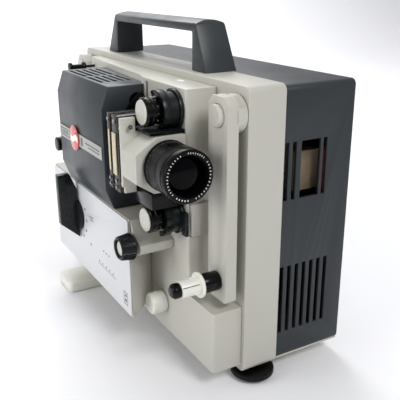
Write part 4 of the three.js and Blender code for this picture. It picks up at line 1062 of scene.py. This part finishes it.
class PROJECTOR_OT_controls(bpy.types.Operator):
    """Printed panel, function lever, knobs and the loop release button"""

    bl_idname = "projector.controls"
    bl_label = "Controls"

    def execute(self, context):
        controls = context.scene.projector_controls
        soften("panel_face", "panel_lacquer", 0.3 * MM)
        soften("function_lever", "charcoal_nylon", 0.7 * MM)
        soften("release_button", "light_enamel", 1.0 * MM)
        soften("framing_knob", "black_acetal", 0.4 * MM)
        soften("inching_knob", "ivory_plastic", 1.0 * MM)
        knob = Place("threading_knob")
        centre = (0, knob.middle.y, knob.middle.z)
        left = knob.low.x
        wide = knob.size.y / 2
        narrow = wide - 2
        length = 13.2
        shape = turned("x", [
            (0, left + 2.6), (narrow - 2.4, left + 2.6), (narrow - 2.2, left + 1.2),
            (narrow - 1.6, left + 0.3), (narrow - 1.2, left), (narrow - 0.5, left),
            (narrow, left + 0.6), (wide - 0.2, left + length - 0.6),
            (wide - 0.6, left + length), (3, left + length), (3, knob.high.x), (0, knob.high.x),
        ], centre, sides=72)
        add_piece("threading_grip", to_mesh(shape, "charcoal_nylon"), "threading_control",
                  ["threading_knob"])
        rib = ridge(0.5, 0.8, length - 2.4)
        lean = math.atan2(wide - narrow, length)
        bmesh.ops.rotate(rib, verts=rib.verts, matrix=Matrix.Rotation(lean, 3, "Y"))
        grow("threading_grip_ribs", "ring", rib, "threading_control", "charcoal_nylon",
             move=about("x", (left + length / 2, centre[1], centre[2])),
             Count=controls.knob_ribs, Radius=(wide + narrow) / 2 * MM)
        insert = turned("x", [
            (0, left + 1.6), (narrow - 4.2, left + 1.6), (narrow - 3.6, left + 2.0),
            (narrow - 3.4, left + 2.7), (0, left + 2.7),
        ], centre, sides=48)
        add_piece("threading_insert", to_mesh(insert, "satin_aluminium"), "threading_control")
        face = Place("panel_face")
        lever = Place("function_lever")
        front = face.low.y
        rear = face.high.y
        low = face.low.z
        high = face.high.z
        outer = face.low.x - 0.08
        hub_height = 100.0  # above the floor
        hub = (lever.middle.y, hub_height)
        ink = []
        for angle in (-60, -30, 0, 30):
            turn = math.radians(angle)
            y = hub[0] - 24 * math.cos(turn)
            z = hub[1] + 24 * math.sin(turn)
            ink.append((y - 1.6, y + 1.6, z - 1.6, z + 1.6))
        ink += [
            (hub[0] - 44, hub[0] - 32, hub[1] + 8, hub[1] + 9),
            (hub[0] - 44, hub[0] - 35, hub[1] + 5, hub[1] + 6),
        ]
        ink += [(front + 62 - i * 7, front + 65 - i * 7, low + 42, low + 43.4) for i in range(3)]
        ink += [(front + 34, front + 80, low + 24, low + 24.5)]
        ink += [(front + 40 + i * 9, front + 42 + i * 9, low + 26, low + 28) for i in range(5)]
        box_front, box_low = front + 7, low + 8  # a framed sign in the panel's lower corner
        for y0, y1, z0, z1 in (
            (0, 9, 0, 0.7), (0, 9, 12.3, 13), (0, 0.7, 0, 13), (8.3, 9, 0, 13),
            (2.5, 6.5, 2.5, 6), (2.5, 6.5, 8, 10.5),
        ):
            ink.append((box_front + y0, box_front + y1, box_low + z0, box_low + z1))
        ink.append((rear - 30, rear - 12, high - 10, high - 9.2))
        red = [(front + 98, front + 101.4, low + 35, low + 38.4)]
        for name, marks, material in (
            ("panel_print", ink, "print_ink"), ("panel_print_red", red, "red_ink"),
        ):
            shapes = printed(marks, 0.2, outer, 3, lambda size: size * 0.45)
            add_piece(name, to_mesh(shapes, material), "chassis")
        return {"FINISHED"}


class PROJECTOR_OT_feet(bpy.types.Operator):
    """Levelling foot with its knurled wheel, rubber feet and stabiliser"""

    bl_idname = "projector.feet"
    bl_label = "Feet"

    def execute(self, context):
        feet = context.scene.projector_feet
        wheel = Place("elevating_wheel")
        soften("elevating_wheel", "black_acetal", 0.4 * MM)
        height = feet.knurl_height / MM
        knurl = ridge(height, 1.6, 4.4)
        grow("wheel_knurls", "ring", knurl, "levelling_wheel", "black_acetal",
             move=about("z", (wheel.middle.x, wheel.middle.y, wheel.low.z + 4.5)),
             Count=feet.knurl_count, Radius=(wheel.size.x / 2 - 0.25) * MM)
        for node in ("foot_pad", "rear_left_foot", "rear_right_foot", "front_right_foot"):
            soften(node, "rubber", 0.5 * MM)
        soften("stabiliser_foot", "ivory_plastic", 1.2 * MM)
        return {"FINISHED"}


class PROJECTOR_OT_small_parts(bpy.types.Operator):
    """Mark on the deck and the case's screws"""

    bl_idname = "projector.small_parts"
    bl_label = "Small parts"

    def execute(self, context):
        deck = Place("mechanism_deck")
        oval = []
        corners = 28
        middle = (deck.low.x + 18.5, deck.low.y + 86)
        for i in range(corners):
            angle = 2 * math.pi * i / corners
            oval.append((middle[0] + 2.6 * math.cos(angle), middle[1] + 5.2 * math.sin(angle)))
        add_piece("deck_mark", to_mesh(slab(oval, "z", deck.high.z - 0.2, deck.high.z + 0.35), "white_ink"),
                  "chassis")
        cover = Place("rear_cover")
        band = Place("main_casing")
        places = [
            (cover.high.x + 0.1, y, z)
            for y in (cover.low.y + 12, cover.high.y - 12) for z in (cover.low.z + 12, cover.high.z - 12)
        ]
        grow("cover_screws", "points", screw_head(3.2, 0.8, "x", 1), "chassis", "steel",
             host=points_mesh(places))
        places = [(band.middle.x, band.high.y + 0.1, z) for z in (band.low.z + 20, band.high.z - 20)]
        grow("band_screws", "points", screw_head(2.6, 0.8, "y", 1), "chassis", "steel",
             host=points_mesh(places))
        return {"FINISHED"}


class PROJECTOR_OT_inside(bpy.types.Operator):
    """Finishes of what is inside the case, with winding, laminations and components"""

    bl_idname = "projector.inside"
    bl_label = "Inside"

    def execute(self, context):
        finishes = {
            "motor": "steel", "motor_shaft": "steel", "cooling_fan": "black_acetal", "drive_belt": "rubber",
            "shutter_shaft": "steel", "shutter": "black_acetal", "worm_wheel": "brass",
            "sprocket_belt": "rubber", "transformer_core": "steel", "transformer_coil": "coil_paper",
            "circuit_board": "circuit_board", "capacitor": "red_film", "loudspeaker": "rubber",
            "mains_inlet": "black_acetal",
        }
        for node, material in finishes.items():
            finish_node(node, material)
        core = Place("transformer_core")
        proud = 0.25  # how far a sheet stands out of the core
        outline = rounded_outline(
            core.low.x - proud, core.high.x + proud, core.low.z - proud, core.low.z + 0.5, 0.2, 2
        )
        sheet = slab(outline, "y", core.low.y - 0.2, core.low.y + 0.25)
        grow("core_laminations", "row", sheet, "chassis", "steel",
             Count=11, Start=(0, 0, 0), Step=(0, 2.4 * MM, 0))
        board = Place("circuit_board")
        part = turned("x", [(0, -8), (2.6, -8), (3, -7.4), (3, 0.4), (0, 0.4)], (0, 0, 0), sides=20)
        places = [
            (board.high.x + 7.8, board.low.y + 22 + 26 * i, board.low.z + 18 + 22 * j)
            for i in range(5) for j in range(3)
        ]
        grow("board_components", "points", part, "chassis", "charcoal_nylon",
             host=points_mesh(places))
        return {"FINISHED"}


class PROJECTOR_OT_stage(bpy.types.Operator):
    """Camera, pale floor with its backdrop, and soft lights"""

    bl_idname = "projector.stage"
    bl_label = "Stage"

    def execute(self, context):
        stage = context.scene.projector_stage
        middle = (cad_box[0] + cad_box[1]) / 2
        back = Vector((
            math.sin(stage.azimuth) * math.cos(stage.elevation),
            -math.cos(stage.azimuth) * math.cos(stage.elevation),
            math.sin(stage.elevation),
        ))
        level = (-back).cross(Vector((0, 0, 1))).normalized()
        upright = level.cross(-back)
        turn, lift = math.cos(stage.roll), math.sin(stage.roll)
        right = level * turn + upright * lift
        up = upright * turn - level * lift
        aim = middle + right * stage.aim_right + up * stage.aim_up
        data = bpy.data.cameras.new("camera")
        data.lens = stage.lens
        data.sensor_width = 36
        camera = bpy.data.objects.new("camera", data)
        turned_to = Matrix((right, up, back)).transposed().to_4x4()
        camera.matrix_world = Matrix.Translation(aim + back * stage.distance) @ turned_to
        context.scene.collection.objects.link(camera)
        context.scene.camera = camera

        bm = bmesh.new()
        size = 3.0
        bend = 0.8  # radius where the floor turns up into the backdrop
        rear = 1.2
        steps = 12
        profile = [(-size, 0.0), (rear, 0.0)]
        for i in range(1, steps + 1):
            angle = math.pi / 2 * i / steps
            profile.append((rear + bend * math.sin(angle), bend * (1 - math.cos(angle))))
        profile.append((rear + bend, size))
        rows = [[bm.verts.new((x, y, z)) for x in (-size, size)] for y, z in profile]
        for a, b in zip(rows, rows[1:]):
            bm.faces.new([a[0], a[1], b[1], b[0]])
        floor = to_mesh(bm, "floor", scale=1.0)
        floor.shade_smooth()
        sweep = bpy.data.objects.new("floor", floor)
        context.scene.collection.objects.link(sweep)

        lights = [
            # name, place, size, power
            ("key_softbox", (0.1, -1.35, 1.3), 0.5, 12.5),
            ("side_softbox", (-1.6, 0.1, 0.65), 0.9, 11.0),
            ("top_softbox", (0.15, 0.3, 1.7), 1.2, 7.0),
            ("backdrop_softbox", (0.5, 1.9, 2.0), 1.2, 52.0),
        ]
        backdrop_aim = Vector((0.6, 2.2, 0.5))
        for name, place, size, power in lights:
            lamp = bpy.data.lights.new(name, "AREA")
            lamp.shape = "SQUARE"
            lamp.size = size
            lamp.energy = power
            lamp_object = bpy.data.objects.new(name, lamp)
            lamp_object.location = place
            aim_at = backdrop_aim if name == "backdrop_softbox" else Vector(middle)
            lamp_object.rotation_euler = (aim_at - Vector(place)).to_track_quat("-Z", "Y").to_euler()
            context.scene.collection.objects.link(lamp_object)
        world = bpy.data.worlds.new("studio")
        world.use_nodes = True
        world.node_tree.nodes["Background"].inputs["Color"].default_value = linear("F2F3F6")
        world.node_tree.nodes["Background"].inputs["Strength"].default_value = 0.4
        context.scene.world = world
        context.scene.view_settings.view_transform = "Standard"
        return {"FINISHED"}


class PROJECTOR_PT_sidebar(bpy.types.Panel):
    """Buttons for every group of pieces"""

    bl_idname = "PROJECTOR_PT_sidebar"
    bl_label = "Projector"
    bl_space_type = "VIEW_3D"
    bl_region_type = "UI"
    bl_category = "Projector"

    def draw(self, context):
        column = self.layout.column()
        for operator in OPERATORS:
            column.operator(operator.bl_idname)
        for name, group in SETTINGS.items():
            box = self.layout.box()
            for prop in group.__annotations__:
                box.prop(getattr(context.scene, name), prop)


OPERATORS = [
    PROJECTOR_OT_stage,
    PROJECTOR_OT_housings,
    PROJECTOR_OT_lamp_house,
    PROJECTOR_OT_lens,
    PROJECTOR_OT_gate,
    PROJECTOR_OT_film_path,
    PROJECTOR_OT_reel_arms,
    PROJECTOR_OT_controls,
    PROJECTOR_OT_feet,
    PROJECTOR_OT_small_parts,
    PROJECTOR_OT_inside,
]


def register():
    """Registers the settings, operators and sidebar."""
    for group in SETTINGS.values():
        bpy.utils.register_class(group)
    for name, group in SETTINGS.items():
        setattr(bpy.types.Scene, name, bpy.props.PointerProperty(type=group))
    for operator in OPERATORS:
        bpy.utils.register_class(operator)
    bpy.utils.register_class(PROJECTOR_PT_sidebar)


def unregister():
    """Removes what register added."""
    bpy.utils.unregister_class(PROJECTOR_PT_sidebar)
    for operator in reversed(OPERATORS):
        bpy.utils.unregister_class(operator)
    for name in SETTINGS:
        delattr(bpy.types.Scene, name)
    for group in reversed(list(SETTINGS.values())):
        bpy.utils.unregister_class(group)


def main():
    """Builds everything."""
    register()
    MATERIALS.update(make_materials(bpy.context.scene))
    TREES.update({"ring": ring_tree(), "points": points_tree(), "row": row_tree()})
    bpy.ops.projector.stage()
    bpy.ops.projector.housings()
    bpy.ops.projector.lamp_house()
    bpy.ops.projector.lens()
    bpy.ops.projector.gate()
    bpy.ops.projector.film_path()
    bpy.ops.projector.reel_arms()
    bpy.ops.projector.controls()
    bpy.ops.projector.feet()
    bpy.ops.projector.small_parts()
    bpy.ops.projector.inside()


if __name__ == "__main__":
    main()
